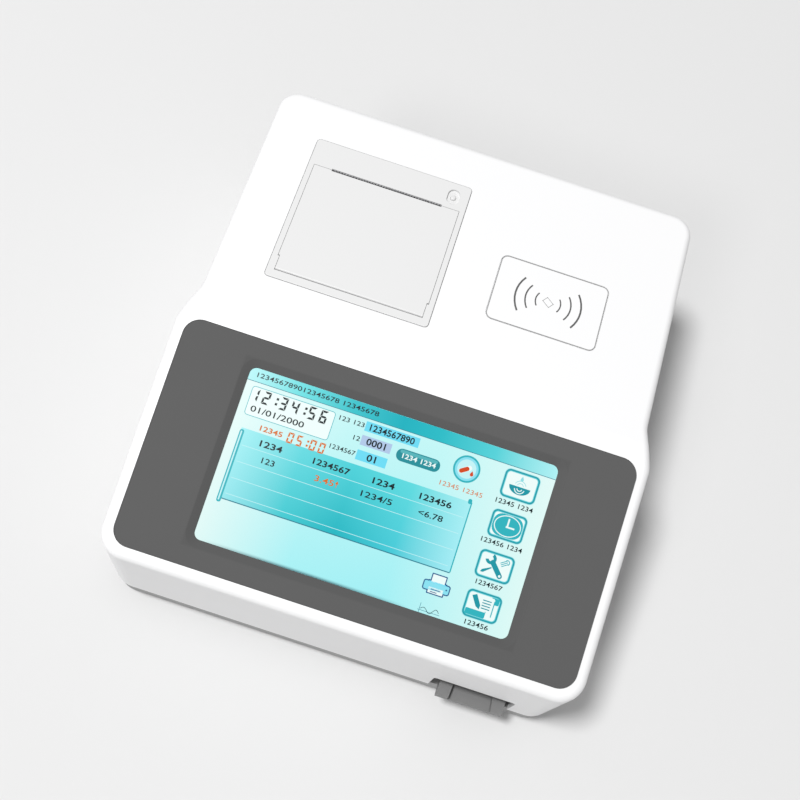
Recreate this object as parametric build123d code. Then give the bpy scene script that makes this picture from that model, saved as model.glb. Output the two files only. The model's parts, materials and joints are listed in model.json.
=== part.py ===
from build123d import *
from math import acos, atan2, cos, degrees, pi, radians, sin, sqrt, tan
import os

# Desktop rapid test reader: fluorescence reader for test cassettes with a tilted touch screen, a built-in
# receipt printer, a contactless card pad and a motor-driven cassette tray.
# Millimetres. +X to the right seen from the front, +Y to the rear, +Z up. The origin is on the table, in the
# middle of the object's footprint with the tray closed.

# ---------------------------------------------------------------- housing
deck_z = 115.0              # top of the flat rear deck
front_edge_z = 79.8         # where the sloping screen face meets the front wall
rear_y = 131.0              # rear wall, outside
head_front_y = -125.5       # front wall, outside
crease_y = -5.7             # line where the deck turns into the screen face
crease_radius = 30.0        # the turn itself is a soft bend
rear_width = 227.5          # body behind the display head
head_width = 240.0          # display head, across the cheeks
rear_corner = 11.0          # plan radii
head_corner = 13.0
shoulder_radius = 14.0
shoulder_rear = 13.0        # shoulder starts this far behind the crease
shoulder_front = 6.5        # and ends this far in front of it
edge_round = 3.6            # moulded rounding round the top
wall = 2.5                  # cover wall
face_wall = 5.0             # the screen face is thicker, to take the surround plate
split_z = 18.0              # joint between cover and base
base_bottom_z = 3.0
base_inset = 1.0            # base stands back from the cover all round
base_wall = 3.0
base_floor = 2.5
base_edge_round = 2.0
lip_height = 2.5
lip_gap = 0.2
lip_thickness = 1.3
lip_post_room = 14.0        # the lip leaves this much room at each screw post

# ---------------------------------------------------------------- screen
rim = 5.9                   # white margin round the surround plate
panel_corner = 8.5
panel_thickness = 2.0
panel_sunk = 0.4            # plate lies this far below the white rim
panel_gap = 0.2
window_width = 155.7
window_height = 86.2
window_from_crease = 19.4   # upper edge of the window, along the slope
window_corner = 3.5
window_bevel = 4.0
window_bevel_depth = 1.0
module_width = 165.0        # seven-inch touch glass and display outline
module_height = 100.0
module_gap = 0.5
glass_thickness = 1.1
lcd_thickness = 5.7
bracket_thickness = 1.2
bracket_margin = 9.0
bracket_boss_radius = 3.2
driver_board_width = 96.0
driver_board_height = 58.0
driver_board_standoff = 2.4
driver_standoff_radius = 2.4
driver_hole_inset = 4.0
driver_chips = (            # from the board's middle: x, y, width, height, thickness
    (-12, 4, 18, 18, 1.6), (16, 4, 11, 9, 1.2), (0, -22, 34, 6, 4.5),
)
board_thickness = 1.6

# ---------------------------------------------------------------- cassette tray and its drive
notch_from_side = 44.0      # middle of the tray notch, from the head's right side
notch_width = 43.0
notch_top_z = 40.4
notch_corner = 2.5
tray_from_notch = 0.5       # the tray stands this far right of the notch's middle
tray_width = 35.0
tray_bottom_z = 21.0
tray_height = 8.0
tray_front_y = -131.0
tray_length = 120.0
tray_travel = 72.0
tray_front_chamfer = 1.2
channel_width = 20.6        # takes a 20 mm cassette
channel_depth = 4.8
channel_length = 76.0
channel_flare = 1.1         # extra width each side at the mouth
flare_length = 10.0
tongue_height = 2.0
tongue_reach = 1.3
tongue_z = 24.0
slide_gap = 0.3             # between the tray and its guides
chassis_wall = 2.6
chassis_floor = 1.5
chassis_top_z = 31.0
chassis_front_gap = 0.3     # between the base's front wall and the chassis
chassis_length = 113.0
drive_module = 0.8
pinion_teeth = 14
pinion_width = 5.0
pinion_from_tray_front = 33.0
rack_back = 1.3             # solid strip between the rack's teeth and the tray
rack_addendum = 0.8         # in modules, short so that the small pinion runs free
rack_x_from_tray = -14.0
rack_front_inset = 14.0
gear_backlash = 0.14
motor_shaft_radius = 1.5
gearmotor_height = 10.0
gearmotor_width = 12.0
gearbox_length = 9.0
gearmotor_can = 15.0

# ---------------------------------------------------------------- reading optics
optics_width = 41.0
optics_length = 52.0
optics_height = 34.0
optics_from_tray_front = 38.0
lens_radius = 7.0
lens_thickness = 3.0
lens_tube_radius = 7.1
reader_width = 22.0
reader_depth = 9.0
reader_height = 12.0
reader_gap = 1.0            # between the code reader and the optics housing

# ---------------------------------------------------------------- printer
printer_x = -45.6
printer_front_y = 21.2
fascia_width = 84.2
fascia_length = 84.8
fascia_corner = 2.0
fascia_proud = 0.4
fascia_thickness = 1.6
fascia_gap = 0.25
flange_overlap = 1.2
skirt_wall = 2.0
skirt_depth = 26.0
top_plate = 2.4
flap_gap_front = 0.6        # visible dark line at the flap's front edge
flap_front_margin = 4.2     # fascia strip in front of that line
flap_width = 78.1
flap_narrowing = 0.9        # each side, at the stepped front corners
flap_step_length = 8.0
flap_rear_from_front = 68.9
flap_thickness = 2.2
flap_side_gap = 0.2
flap_step_gap = 0.55        # in front of the step, which swings forward as the flap opens
flap_rest_gap = 0.2
slot_width = 59.3
slot_depth = 0.6
hinge_back = 2.6            # hinge axis behind the flap's front edge
hinge_down = 2.0            # and below its top
knuckle_radius = 1.9
knuckle_length = 9.0
hinge_pin_radius = 0.9
hinge_sweep_clearance = 0.25
roll_width = 57.0
roll_radius = 15.0
core_radius = 6.5
core_bore_radius = 5.5
trough_radius = 20.2
trough_wall = 2.0
trough_half_width = 29.4
trough_centre_back = 30.8   # behind the fascia's front edge
trough_centre_down = 24.4   # below the fascia's top
roll_rest_gap = 0.3
platen_radius = 4.5
platen_length = 58.0
platen_shaft_radius = 1.5
platen_back = 63.7          # behind the fascia's front edge
platen_down = 7.2
platen_arm_thickness = 1.4
platen_arm_radius = 3.2
running_gap = 0.05
print_module = 0.5
platen_gear_teeth = 16
idler_teeth = 24
stepper_pinion_teeth = 12
print_gear_width = 2.6
stepper_radius = 7.5
stepper_length = 14.0
stepper_shaft_radius = 1.0
print_head_gap = 0.4        # paper gap between roller and head
print_head_thickness = 1.5
print_head_height = 11.5
bay_half_width = 36.5
bracket_sheet = 1.2
bracket_neck = 48.0         # width of the back plate above the cheeks, and of its flange
cheek_inner = 30.3
tear_bar_thickness = 0.6
tear_bar_height = 3.0
tear_tooth_pitch = 1.5
button_x = -11.6
button_y = 97.4
button_radius = 1.5
button_recess_width = 6.4
button_recess_length = 9.2
button_recess_depth = 1.2
button_travel = 0.4
button_flange_radius = 2.4
button_collar = 1.2

# ---------------------------------------------------------------- card pad
pad_x = 50.15
pad_y = 55.9
pad_width = 56.9
pad_length = 37.4
pad_corner = 3.5
pad_thickness = 0.8
pad_gap = 0.35
antenna_width = 48.0
antenna_length = 30.0
antenna_boss_height = 2.0
antenna_boss_radius = 2.0
antenna_hole_inset = 3.0
antenna_track = 2.5         # width of the printed coil
antenna_track_inset = (7.0, 2.0)

# ---------------------------------------------------------------- boards and rear sockets
main_board_z = 20.0
main_board_length = 58.0
board_side_gap = (4.0, 2.0)     # board inside the port recess, left and right
board_rear_gap = 0.5
board_chips = (             # from the board's front left corner: x, y, width, length, height
    (84, 22, 24, 24, 2.0), (116, 24, 14, 10, 1.6), (116, 10, 14, 10, 1.6),
    (46, 18, 12, 12, 7.0), (28, 18, 9, 16, 9.0),
)
capacitor_places = ((14, 10), (20, 10), (56, 10))
capacitor_radius = 2.6
capacitor_height = 9.0
standoff_radius = 3.5
standoff_inset = 5.0
board_hole_radius = 1.6
port_recess_x = (-90.0, 70.0)
port_recess_z = (20.5, 42.5)
port_recess_depth = 4.0
port_corner = 2.0
port_gap = 0.25
port_plate_gap = 0.5        # between the port plate and the base below it
socket_proud = 0.3          # sockets reach this far out of the port plate
power_inlet_x = -45.0
usb_x = (-26.0, -8.0)
network_x = 14.0
serial_x = 47.0
serial_pitch = 2.76         # between the serial plug's pins
serial_row = 2.84
switch_x = -70.0
switch_z = 32.0
switch_flange = (21.0, 15.0)
switch_body = (18.0, 12.6)
switch_flange_thickness = 1.4
switch_body_depth = 12.0
rocker_size = (15.0, 10.2)
rocker_tilt = 7.0           # degrees either side of level
rocker_gap = (0.4, 0.3)     # to the well's ends and sides
rocker_pin_radius = 0.9
rocker_pin_reach = 0.7      # how far the pins stand into the well's sides
vent_count = 12
vent_pitch = 7.0
vent_width = 2.6
vent_height = 18.0
vent_z = 66.0
floor_vent_count = 9
floor_vent_length = 34.0
floor_vent_from_rear = 92.5

# ---------------------------------------------------------------- fasteners and feet
post_radius = 4.2
post_top_z = 46.0
front_post_from_side = 13.0
front_post_from_front = 15.5
rear_post_from_side = 10.75
rear_post_from_rear = 17.5
screw_radius = 1.5
screw_head_radius = 2.9
screw_head_height = 2.2
counterbore_radius = 3.4
counterbore_top_z = 11.0
small_screw_radius = 1.0
small_head_radius = 1.9
small_head_height = 1.3
foot_radius = 8.0
foot_thickness = 4.0
foot_recess = 1.0
front_foot_from_side = 28.0
front_foot_from_front = 31.5
rear_foot_from_side = 23.75
rear_foot_from_rear = 31.0

# ---------------------------------------------------------------- derived
slope = degrees(atan2(deck_z - front_edge_z, crease_y - head_front_y))
slope_length = sqrt((deck_z - front_edge_z) ** 2 + (crease_y - head_front_y) ** 2)
screen_plane = Plane(
    origin=(0, crease_y, deck_z),
    x_dir=(1, 0, 0),
    z_dir=(0, -sin(radians(slope)), cos(radians(slope))),
)
side_plane = Plane.YZ       # local x runs to the rear, local y up
panel_width = head_width - 2 * rim
panel_height = slope_length - 2 * rim
panel_middle = -slope_length / 2
window_middle = -(window_from_crease + window_height / 2)
panel_bottom = -(panel_sunk + panel_thickness)
glass_bottom = panel_bottom - glass_thickness
lcd_bottom = glass_bottom - lcd_thickness
bracket_bottom = lcd_bottom - bracket_thickness
driver_top = bracket_bottom - driver_board_standoff
base_floor_z = base_bottom_z + base_floor
front_post = (head_width / 2 - front_post_from_side, head_front_y + front_post_from_front)
rear_post = (rear_width / 2 - rear_post_from_side, rear_y - rear_post_from_rear)
front_foot = (head_width / 2 - front_foot_from_side, head_front_y + front_foot_from_front)
rear_foot = (rear_width / 2 - rear_foot_from_side, rear_y - rear_foot_from_rear)
notch_x = head_width / 2 - notch_from_side
tray_x = notch_x + tray_from_notch
tray_rear_y = tray_front_y + tray_length
tray_top_z = tray_bottom_z + tray_height
rack_x = tray_x + rack_x_from_tray
pitch_line_z = tray_bottom_z - rack_back - drive_module * 1.25
pinion_y = tray_front_y + pinion_from_tray_front
pinion_pitch_radius = drive_module * pinion_teeth / 2
pinion_z = pitch_line_z - pinion_pitch_radius
chassis_half = tray_width / 2 + slide_gap + chassis_wall
chassis_front_y = head_front_y + base_inset + base_wall + chassis_front_gap
optics_front_y = tray_front_y + optics_from_tray_front
optics_rear_y = optics_front_y + optics_length
fascia_top = deck_z + fascia_proud
fascia_bottom = fascia_top - fascia_thickness
fascia_middle_y = printer_front_y + fascia_length / 2
skirt_width = fascia_width - 2 * flange_overlap
skirt_length = fascia_length - 2 * flange_overlap
skirt_rear_y = fascia_middle_y + skirt_length / 2
top_plate_bottom = fascia_bottom - top_plate
flap_front_y = printer_front_y + flap_front_margin + flap_gap_front
flap_rear_y = printer_front_y + flap_rear_from_front
flap_bottom = fascia_top - flap_thickness
recess_bottom = flap_bottom - flap_rest_gap
hinge_y = flap_front_y + hinge_back
hinge_z = fascia_top - hinge_down
hinge_sweep = sqrt(hinge_back**2 + hinge_down**2) + hinge_sweep_clearance
trough_y = printer_front_y + trough_centre_back
trough_z = fascia_top - trough_centre_down
roll_z = trough_z - trough_radius + roll_radius + roll_rest_gap
platen_y = printer_front_y + platen_back
platen_z = fascia_top - platen_down
arm_inner = platen_length / 2 + 0.4
arm_outer = arm_inner + platen_arm_thickness
head_y = platen_y + platen_radius + print_head_gap
gear_x0 = cheek_inner + bracket_sheet + 0.3
lift_angle = atan2(hinge_z - platen_z, platen_y - hinge_y)   # first direction of the platen's swing
idler_distance = print_module * (platen_gear_teeth + idler_teeth) / 2
idler_y = platen_y - idler_distance * sin(lift_angle)
idler_z = platen_z - idler_distance * cos(lift_angle)
stepper_distance = print_module * (idler_teeth + stepper_pinion_teeth) / 2
stepper_angle = radians(45)                                  # below and behind the idler
stepper_y = idler_y + stepper_distance * cos(stepper_angle)
stepper_z = idler_z - stepper_distance * sin(stepper_angle)
bay_front_y = platen_y - platen_radius - 0.4
port_wall_y = rear_y - port_recess_depth
port_frame_x = (port_recess_x[0] - wall, port_recess_x[1] + wall)
port_frame_top = port_recess_z[1] + wall
socket_face_y = port_wall_y + socket_proud
board_top_z = main_board_z + board_thickness
main_board_rear = port_wall_y - wall - board_rear_gap
main_board_x = (port_recess_x[0] + board_side_gap[0], port_recess_x[1] - board_side_gap[1])
main_board_y = (main_board_rear - main_board_length, main_board_rear)


# ---------------------------------------------------------------- helpers
def span(x, y, z):
    """Box from (low, high) pairs."""
    size = [pair[1] - pair[0] for pair in (x, y, z)]
    middle = [(pair[0] + pair[1]) / 2 for pair in (x, y, z)]
    return Pos(*middle) * Box(*size)


def lift(sketch, low, high):
    """Upright prism of a plan sketch, between two heights."""
    return extrude(Pos(0, 0, low) * sketch, high - low)


def across(sketch, left, right):
    """Prism along X of a sketch drawn as seen from the side."""
    return extrude(side_plane.offset(left) * sketch, right - left)


def on_face(sketch, low, high):
    """Prism square to the screen face; heights count from the white rim, downwards negative."""
    return extrude(screen_plane.offset(low) * sketch, high - low)


def side_rod(radius, y, z, left, right):
    """Cylinder along X."""
    return across(Pos(y, z) * Circle(radius), left, right)


def upright_rod(radius, x, y, low, high):
    """Cylinder along Z."""
    return lift(Pos(x, y) * Circle(radius), low, high)


def four(point):
    """The same place at left and right."""
    return [(-point[0], point[1]), (point[0], point[1])]


def involute(angle):
    return tan(angle) - angle


def gear_outline(module, teeth, backlash):
    """Spur gear with involute flanks, a tooth centred on the local X axis."""
    pitch_radius = module * teeth / 2
    base_radius = pitch_radius * cos(radians(20))
    tip_radius = pitch_radius + module
    root_radius = pitch_radius - 1.25 * module
    start_radius = max(base_radius, root_radius)
    half_pitch_angle = (pi / 2 - backlash / module) / teeth
    flank = []
    for step in range(4):
        radius = start_radius + (tip_radius - start_radius) * step / 3
        angle = half_pitch_angle + involute(radians(20)) - involute(acos(base_radius / radius))
        flank.append((radius, angle))
    flank.insert(0, (root_radius, flank[0][1]))
    points = []
    for tooth in range(teeth):
        middle = 2 * pi * tooth / teeth
        for radius, angle in flank:
            points.append((radius * cos(middle - angle), radius * sin(middle - angle)))
        for radius, angle in reversed(flank):
            points.append((radius * cos(middle + angle), radius * sin(middle + angle)))
    return make_face(Polyline(*points, close=True))


def side_gear(outline, bore, y, z, turn, left, right):
    """Gear with its axle along X; turn is the direction of its first tooth, from +Y towards +Z."""
    ring = outline - Circle(bore)
    return across(Pos(y, z) * Rot(0, 0, turn) * ring, left, right)


# ---------------------------------------------------------------- housing
def plan_outline(inset=0.0):
    """Footprint seen from above: narrow rear body, S-curved shoulders, wider display head."""
    rear_half = rear_width / 2 - inset
    head_half = head_width / 2 - inset
    right = [
        (rear_half, rear_y - inset),
        (rear_half, crease_y + shoulder_rear),
        (head_half, crease_y - shoulder_front),
        (head_half, head_front_y + inset),
    ]
    radii = [rear_corner - inset, shoulder_radius + inset, shoulder_radius - inset, head_corner - inset]
    left = [(-x, y) for x, y in reversed(right)]
    return make_face(FilletPolyline(*(right + left), radius=radii + radii[::-1], close=True))


def housing_form(inset, top_inset, face_inset, bottom):
    """Space inside the outline and under the deck and the sloping face."""
    face_drop = face_inset / cos(radians(slope))
    gradient = tan(radians(slope))
    top = deck_z - top_inset
    turn_y = crease_y + (face_drop - top_inset) / gradient
    front = head_front_y + inset
    front_top = top - (turn_y - front) * gradient
    rear = rear_y - inset
    corners = [(rear, bottom), (rear, top), (turn_y, top), (front, front_top), (front, bottom)]
    bend = crease_radius - top_inset
    profile = make_face(FilletPolyline(*corners, radius=[0, 0, bend, 0, 0], close=True))
    return lift(plan_outline(inset), bottom, deck_z) & across(profile, -head_width, head_width)


def rounded_top(form):
    """Rounds the moulded edges round the deck and the sloping face, not the bend between them."""
    edges = ShapeList()
    for face in form.faces():
        if face.normal_at().Z > 0.5:
            for edge in face.edges():
                runs_across = abs((edge % 0.5).X) > 0.999
                if not (runs_across and abs(edge.center().Y - crease_y) < crease_radius):
                    edges.append(edge)
    return fillet(edges, edge_round)


def cover_posts():
    """Screw posts that hang inside the cover, each webbed to the side wall."""
    posts = Part()
    for x, y in four(front_post) + four(rear_post):
        side = 1 if x > 0 else -1
        wall_x = side * ((head_width if y < crease_y else rear_width) / 2 - wall / 2)
        posts += upright_rod(post_radius, x, y, split_z, post_top_z)
        posts += span(sorted((x, wall_x)), (y - 1.2, y + 1.2), (split_z, post_top_z))
        posts -= upright_rod(screw_radius, x, y, split_z, post_top_z - 4)
    return posts


def screen_bosses():
    """Bosses behind the screen face that take the display bracket's screws."""
    bosses = Part()
    for x, y in bracket_screw_places():
        bosses += on_face(Pos(x, y) * Circle(bracket_boss_radius), lcd_bottom, -face_wall + 0.5)
        bosses -= on_face(Pos(x, y) * Circle(small_screw_radius), lcd_bottom, -face_wall)
    return bosses


def bracket_screw_places():
    x = module_width / 2 + module_gap + bracket_boss_radius + 0.6
    y = module_height / 2 - bracket_margin
    return [(side * x, window_middle + end * y) for side in (-1, 1) for end in (-1, 1)]


def antenna_screw_places():
    x = antenna_width / 2 - antenna_hole_inset
    y = antenna_length / 2 - antenna_hole_inset
    return [(pad_x + side * x, pad_y + end * y) for side in (-1, 1) for end in (-1, 1)]


def rear_vents():
    slot = Pos(0, vent_z) * SlotOverall(vent_height, vent_width, rotation=90)
    row = Sketch() + [Pos((i - (vent_count - 1) / 2) * vent_pitch, 0) * slot for i in range(vent_count)]
    return extrude(Plane.XZ.offset(-rear_y - 1) * row, wall + 2)


def port_cut(x, low, width, height, gap=port_gap):
    """Opening through the port plate for a socket that stands on the board."""
    return span(
        (x - width / 2 - gap, x + width / 2 + gap),
        (port_wall_y - wall - 1, port_wall_y + 1),
        (low - gap, low + height + gap),
    )


def top_cover():
    cover = rounded_top(housing_form(0, 0, 0, split_z))
    inside = housing_form(wall, wall, face_wall, split_z - 1)
    # frame round the port recess, which the port plate closes from inside
    cover -= inside - span(port_frame_x, (port_wall_y, rear_y), (split_z - 1, port_frame_top))
    port_middle_x = sum(port_recess_x) / 2
    port_middle_z = sum(port_recess_z) / 2
    recess = Pos(port_middle_x, port_middle_z) * RectangleRounded(
        port_recess_x[1] - port_recess_x[0], port_recess_z[1] - port_recess_z[0], port_corner
    )
    cover -= extrude(Plane.XZ.offset(-rear_y - 1) * recess, port_recess_depth + 1)
    # surround plate pocket and display aperture in the sloping face
    pocket = Pos(0, panel_middle) * RectangleRounded(
        panel_width + 2 * panel_gap, panel_height + 2 * panel_gap, panel_corner + panel_gap
    )
    cover -= on_face(pocket, panel_bottom, edge_round)
    cover -= on_face(
        Pos(0, window_middle) * Rectangle(module_width + 2 * module_gap, module_height + 2 * module_gap),
        -face_wall - 1,
        panel_bottom,
    )
    cover += screen_bosses()
    # tray notch in the front wall
    notch = Rectangle(notch_width, notch_top_z - split_z + notch_corner)
    notch = fillet(notch.vertices().group_by(Axis.Y)[-1], notch_corner)
    notch = Pos(notch_x, (notch_top_z + split_z - notch_corner) / 2) * notch
    cover -= extrude(Plane.XZ.offset(-head_front_y - 1) * notch, wall + 4, both=True)
    # printer aperture with a sunk seat for its fascia, and the card pad pocket
    fascia = Pos(printer_x, fascia_middle_y) * RectangleRounded(
        fascia_width + 2 * fascia_gap, fascia_length + 2 * fascia_gap, fascia_corner + fascia_gap
    )
    cover -= lift(fascia, fascia_bottom, deck_z + 1)
    aperture = Pos(printer_x, fascia_middle_y) * Rectangle(skirt_width + 0.4, skirt_length + 0.4)
    cover -= lift(aperture, deck_z - wall - 1, deck_z)
    pad = Pos(pad_x, pad_y) * RectangleRounded(
        pad_width + 2 * pad_gap, pad_length + 2 * pad_gap, pad_corner + pad_gap
    )
    cover -= lift(pad, deck_z - pad_thickness, deck_z + 1)
    for x, y in antenna_screw_places():
        cover += upright_rod(antenna_boss_radius, x, y, deck_z - wall - antenna_boss_height, deck_z - wall)
    cover += cover_posts() & housing_form(wall / 2, wall, face_wall, split_z)
    cover -= rear_vents()
    return cover


def port_plate():
    """Plate with the sockets' openings, seated on the back of the frame round the port recess."""
    low = split_z + port_plate_gap
    plate = span(port_frame_x, (port_wall_y - wall, port_wall_y), (low, port_frame_top))
    for socket in rear_sockets():
        plate -= port_cut(*socket)
    return plate - port_cut(switch_x, switch_z - switch_body[1] / 2, *switch_body)


def base_cover():
    base = lift(plan_outline(base_inset), base_bottom_z, split_z)
    base = fillet(base.faces().sort_by(Axis.Z)[0].edges(), base_edge_round)
    base -= lift(plan_outline(base_inset + base_wall), base_floor_z, split_z)
    lip_outer = wall + lip_gap
    lip_z = (split_z, split_z + lip_height)
    lip = lift(plan_outline(lip_outer) - plan_outline(lip_outer + lip_thickness), *lip_z)
    notch_room = notch_width / 2 + 1
    lip -= span((notch_x - notch_room, notch_x + notch_room), (head_front_y, head_front_y + 4 * wall), lip_z)
    port_room = (port_recess_x[0] - 2 * wall, port_recess_x[1] + 2 * wall)
    lip -= span(port_room, (port_wall_y - 2 * wall, rear_y), lip_z)
    for x, y in four(front_post) + four(rear_post):
        # the lip stops short of each screw post and of the web behind it, out to the nearest corner
        outward = lip_post_room if y > 0 else -lip_post_room
        web = 2 if y > 0 else -2
        lip -= span((x - lip_post_room, x + lip_post_room), sorted((y - web, y + outward)), lip_z)
        sideways = lip_post_room if x > 0 else -lip_post_room
        lip -= span(sorted((x, x + sideways)), (y - 2, y + 2), lip_z)
    base += lip
    for x, y in four(front_post) + four(rear_post):
        base += upright_rod(post_radius + 0.6, x, y, base_bottom_z, split_z)
        base -= upright_rod(counterbore_radius, x, y, base_bottom_z - 1, counterbore_top_z)
        base -= upright_rod(screw_radius + 0.2, x, y, base_bottom_z, split_z + 1)
    for x, y in board_screw_places():
        base += upright_rod(standoff_radius, x, y, base_bottom_z + 1, main_board_z)
        base -= upright_rod(small_screw_radius, x, y, base_floor_z, main_board_z + 1)
    for x, y in four(front_foot) + four(rear_foot):
        base -= upright_rod(foot_radius + 0.2, x, y, base_bottom_z - 1, base_bottom_z + foot_recess)
    slot = SlotOverall(floor_vent_length, vent_width, rotation=90)
    for i in range(floor_vent_count):
        x = (i - (floor_vent_count - 1) / 2) * vent_pitch
        base -= lift(Pos(x, rear_y - floor_vent_from_rear) * slot, base_bottom_z - 1, base_floor_z + 1)
    return base


def rubber_feet():
    feet = Part()
    for x, y in four(front_foot) + four(rear_foot):
        foot = upright_rod(foot_radius, x, y, 0, foot_thickness)
        feet += chamfer(foot.faces().sort_by(Axis.Z)[0].edges(), 0.8)
    return feet


def pan_screw(radius, head_radius, head_height, length):
    """Screw pointing up, its head under the origin."""
    profile = make_face(Polyline(
        (0, -head_height), (head_radius * 0.8, -head_height), (head_radius, -head_height * 0.5),
        (head_radius, 0), (radius, 0), (radius, length), (0, length), close=True,
    ))
    screw = revolve(Plane.XZ * profile, Axis.Z)
    return screw - Pos(0, 0, -head_height) * extrude(RegularPolygon(radius * 0.7, 6), head_height * 0.6)


def housing_screws():
    length = post_top_z - 6 - counterbore_top_z
    screw = pan_screw(screw_radius, screw_head_radius, screw_head_height, length)
    return Part() + [Pos(x, y, counterbore_top_z) * screw for x, y in four(front_post) + four(rear_post)]


# ---------------------------------------------------------------- screen
def surround_plate():
    """Dark plate with a bevelled window, sunk into the white rim."""
    outline = Pos(0, panel_middle) * RectangleRounded(panel_width, panel_height, panel_corner)
    plate = on_face(outline, panel_bottom, -panel_sunk)
    window = Pos(0, window_middle) * RectangleRounded(window_width, window_height, window_corner)
    plate -= on_face(window, panel_bottom, 0)
    wide = Pos(0, window_middle) * RectangleRounded(
        window_width + 2 * window_bevel, window_height + 2 * window_bevel, window_corner + window_bevel
    )
    top = -panel_sunk
    bevel = loft([
        screen_plane.offset(top - window_bevel_depth) * window,
        screen_plane.offset(top) * wide,
    ])
    return plate - bevel


def module_outline():
    return Pos(0, window_middle) * Rectangle(module_width, module_height)


def touch_glass():
    return on_face(module_outline(), glass_bottom, panel_bottom)


def lcd_module():
    """Display in its folded steel tray, with a lead-out step at the back."""
    tray = on_face(module_outline(), lcd_bottom + 0.8, glass_bottom)
    step = Pos(0, window_middle) * Rectangle(module_width - 8, module_height - 10)
    return tray + on_face(step, lcd_bottom, lcd_bottom + 0.8)


def lcd_bracket():
    """Steel plate behind the display, with a window to save weight and ears for its screws."""
    ears_x = bracket_screw_places()[-1][0] + bracket_boss_radius
    plate = Pos(0, window_middle) * RectangleRounded(2 * ears_x, module_height - 2, 3)
    plate -= Pos(0, window_middle) * RectangleRounded(module_width * 0.28, module_height * 0.22, 3)
    for x, y in bracket_screw_places():
        plate -= Pos(x, y) * Circle(small_screw_radius + 0.2)
    bracket = on_face(plate, bracket_bottom, lcd_bottom)
    for x, y in driver_board_places():
        bracket += on_face(Pos(x, y) * Circle(driver_standoff_radius), driver_top, bracket_bottom)
    return bracket


def driver_board_places():
    x = driver_board_width / 2 - driver_hole_inset
    y = driver_board_height / 2 - driver_hole_inset
    return [(side * x, window_middle + end * y) for side in (-1, 1) for end in (-1, 1)]


def display_driver_board():
    board = Pos(0, window_middle) * RectangleRounded(driver_board_width, driver_board_height, 2)
    solid = on_face(board, driver_top - board_thickness, driver_top)
    board_back = driver_top - board_thickness
    for x, y, width, height, thickness in driver_chips:
        chip = Pos(x, window_middle + y) * Rectangle(width, height)
        solid += on_face(chip, board_back - thickness, board_back)
    return solid


def bracket_screws():
    screw = pan_screw(small_screw_radius, small_head_radius, small_head_height, 4.0)
    places = [screen_plane * Pos(x, y, bracket_bottom) * screw for x, y in bracket_screw_places()]
    return Part() + places


# ---------------------------------------------------------------- cassette tray
def cassette_tray():
    """Moulded tray: two raised rails with the cassette channel between them, and guide tongues outside."""
    half = tray_width / 2
    low, high = tray_bottom_z, tray_top_z
    section = make_face(Polyline(
        (-half, low), (half, low), (half, tongue_z), (half + tongue_reach, tongue_z),
        (half + tongue_reach, tongue_z + tongue_height), (half, tongue_z + tongue_height),
        (half, high), (-half, high), (-half, tongue_z + tongue_height),
        (-half - tongue_reach, tongue_z + tongue_height), (-half - tongue_reach, tongue_z), (-half, tongue_z),
        close=True,
    ))
    tray = extrude(Plane.XZ.offset(-tray_front_y) * (Pos(tray_x, 0) * section), -tray_length)
    mouth = channel_width / 2 + channel_flare
    channel_end = tray_front_y + channel_length
    channel = make_face(Polyline(
        (tray_x - mouth, tray_front_y - 1), (tray_x + mouth, tray_front_y - 1),
        (tray_x + channel_width / 2, tray_front_y + flare_length), (tray_x + channel_width / 2, channel_end),
        (tray_x - channel_width / 2, channel_end), (tray_x - channel_width / 2, tray_front_y + flare_length),
        close=True,
    ))
    tray -= lift(channel, high - channel_depth, high + 1)
    pocket = Pos(tray_x, (channel_end + 4 + tray_rear_y - 4) / 2) * RectangleRounded(
        channel_width, tray_rear_y - channel_end - 8, 2
    )
    tray -= lift(pocket, high - channel_depth, high + 1)
    # the tongues start behind the front wall, and the rails' front corners are eased
    for side in (-1, 1):
        outer = tray_x + side * (half + tongue_reach + 1)
        tongue_x = sorted((tray_x + side * half, outer))
        tray -= span(tongue_x, (tray_front_y - 1, chassis_front_y + 1), (low, high))
    front = tray.faces().sort_by(Axis.Y)[0]
    return chamfer(front.edges().sort_by(Axis.Z)[0], tray_front_chamfer)


def tray_rack():
    """Toothed strip under the tray, teeth down, in mesh with the drive pinion at rest."""
    pitch = pi * drive_module
    tip = rack_addendum * drive_module
    root = drive_module * 1.25
    half_tooth = pitch / 4 - gear_backlash / 2
    lean = tan(radians(20))
    first = tray_front_y + rack_front_inset
    last = pinion_y + tray_travel + 2 * pitch
    first_gap = -int((pinion_y - first) / pitch)
    last_gap = int((last - pinion_y) / pitch)
    edge = [(first, tray_bottom_z), (first, pitch_line_z + root)]
    for gap in range(first_gap, last_gap):
        middle = pinion_y + (gap + 0.5) * pitch
        edge += [
            (middle - half_tooth - root * lean, pitch_line_z + root),
            (middle - half_tooth + tip * lean, pitch_line_z - tip),
            (middle + half_tooth - tip * lean, pitch_line_z - tip),
            (middle + half_tooth + root * lean, pitch_line_z + root),
        ]
    edge += [(last, pitch_line_z + root), (last, tray_bottom_z)]
    profile = make_face(Polyline(*edge, close=True))
    return across(profile, rack_x - pinion_width / 2, rack_x + pinion_width / 2)


def drive_pinion():
    outline = gear_outline(drive_module, pinion_teeth, gear_backlash)
    half = pinion_width / 2 + 0.3
    return side_gear(outline, motor_shaft_radius, pinion_y, pinion_z, 90, rack_x - half, rack_x + half)


def motor_shaft():
    left = tray_x - chassis_half - 1
    return side_rod(motor_shaft_radius, pinion_y, pinion_z, left, rack_x + pinion_width / 2 + 1)


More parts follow.
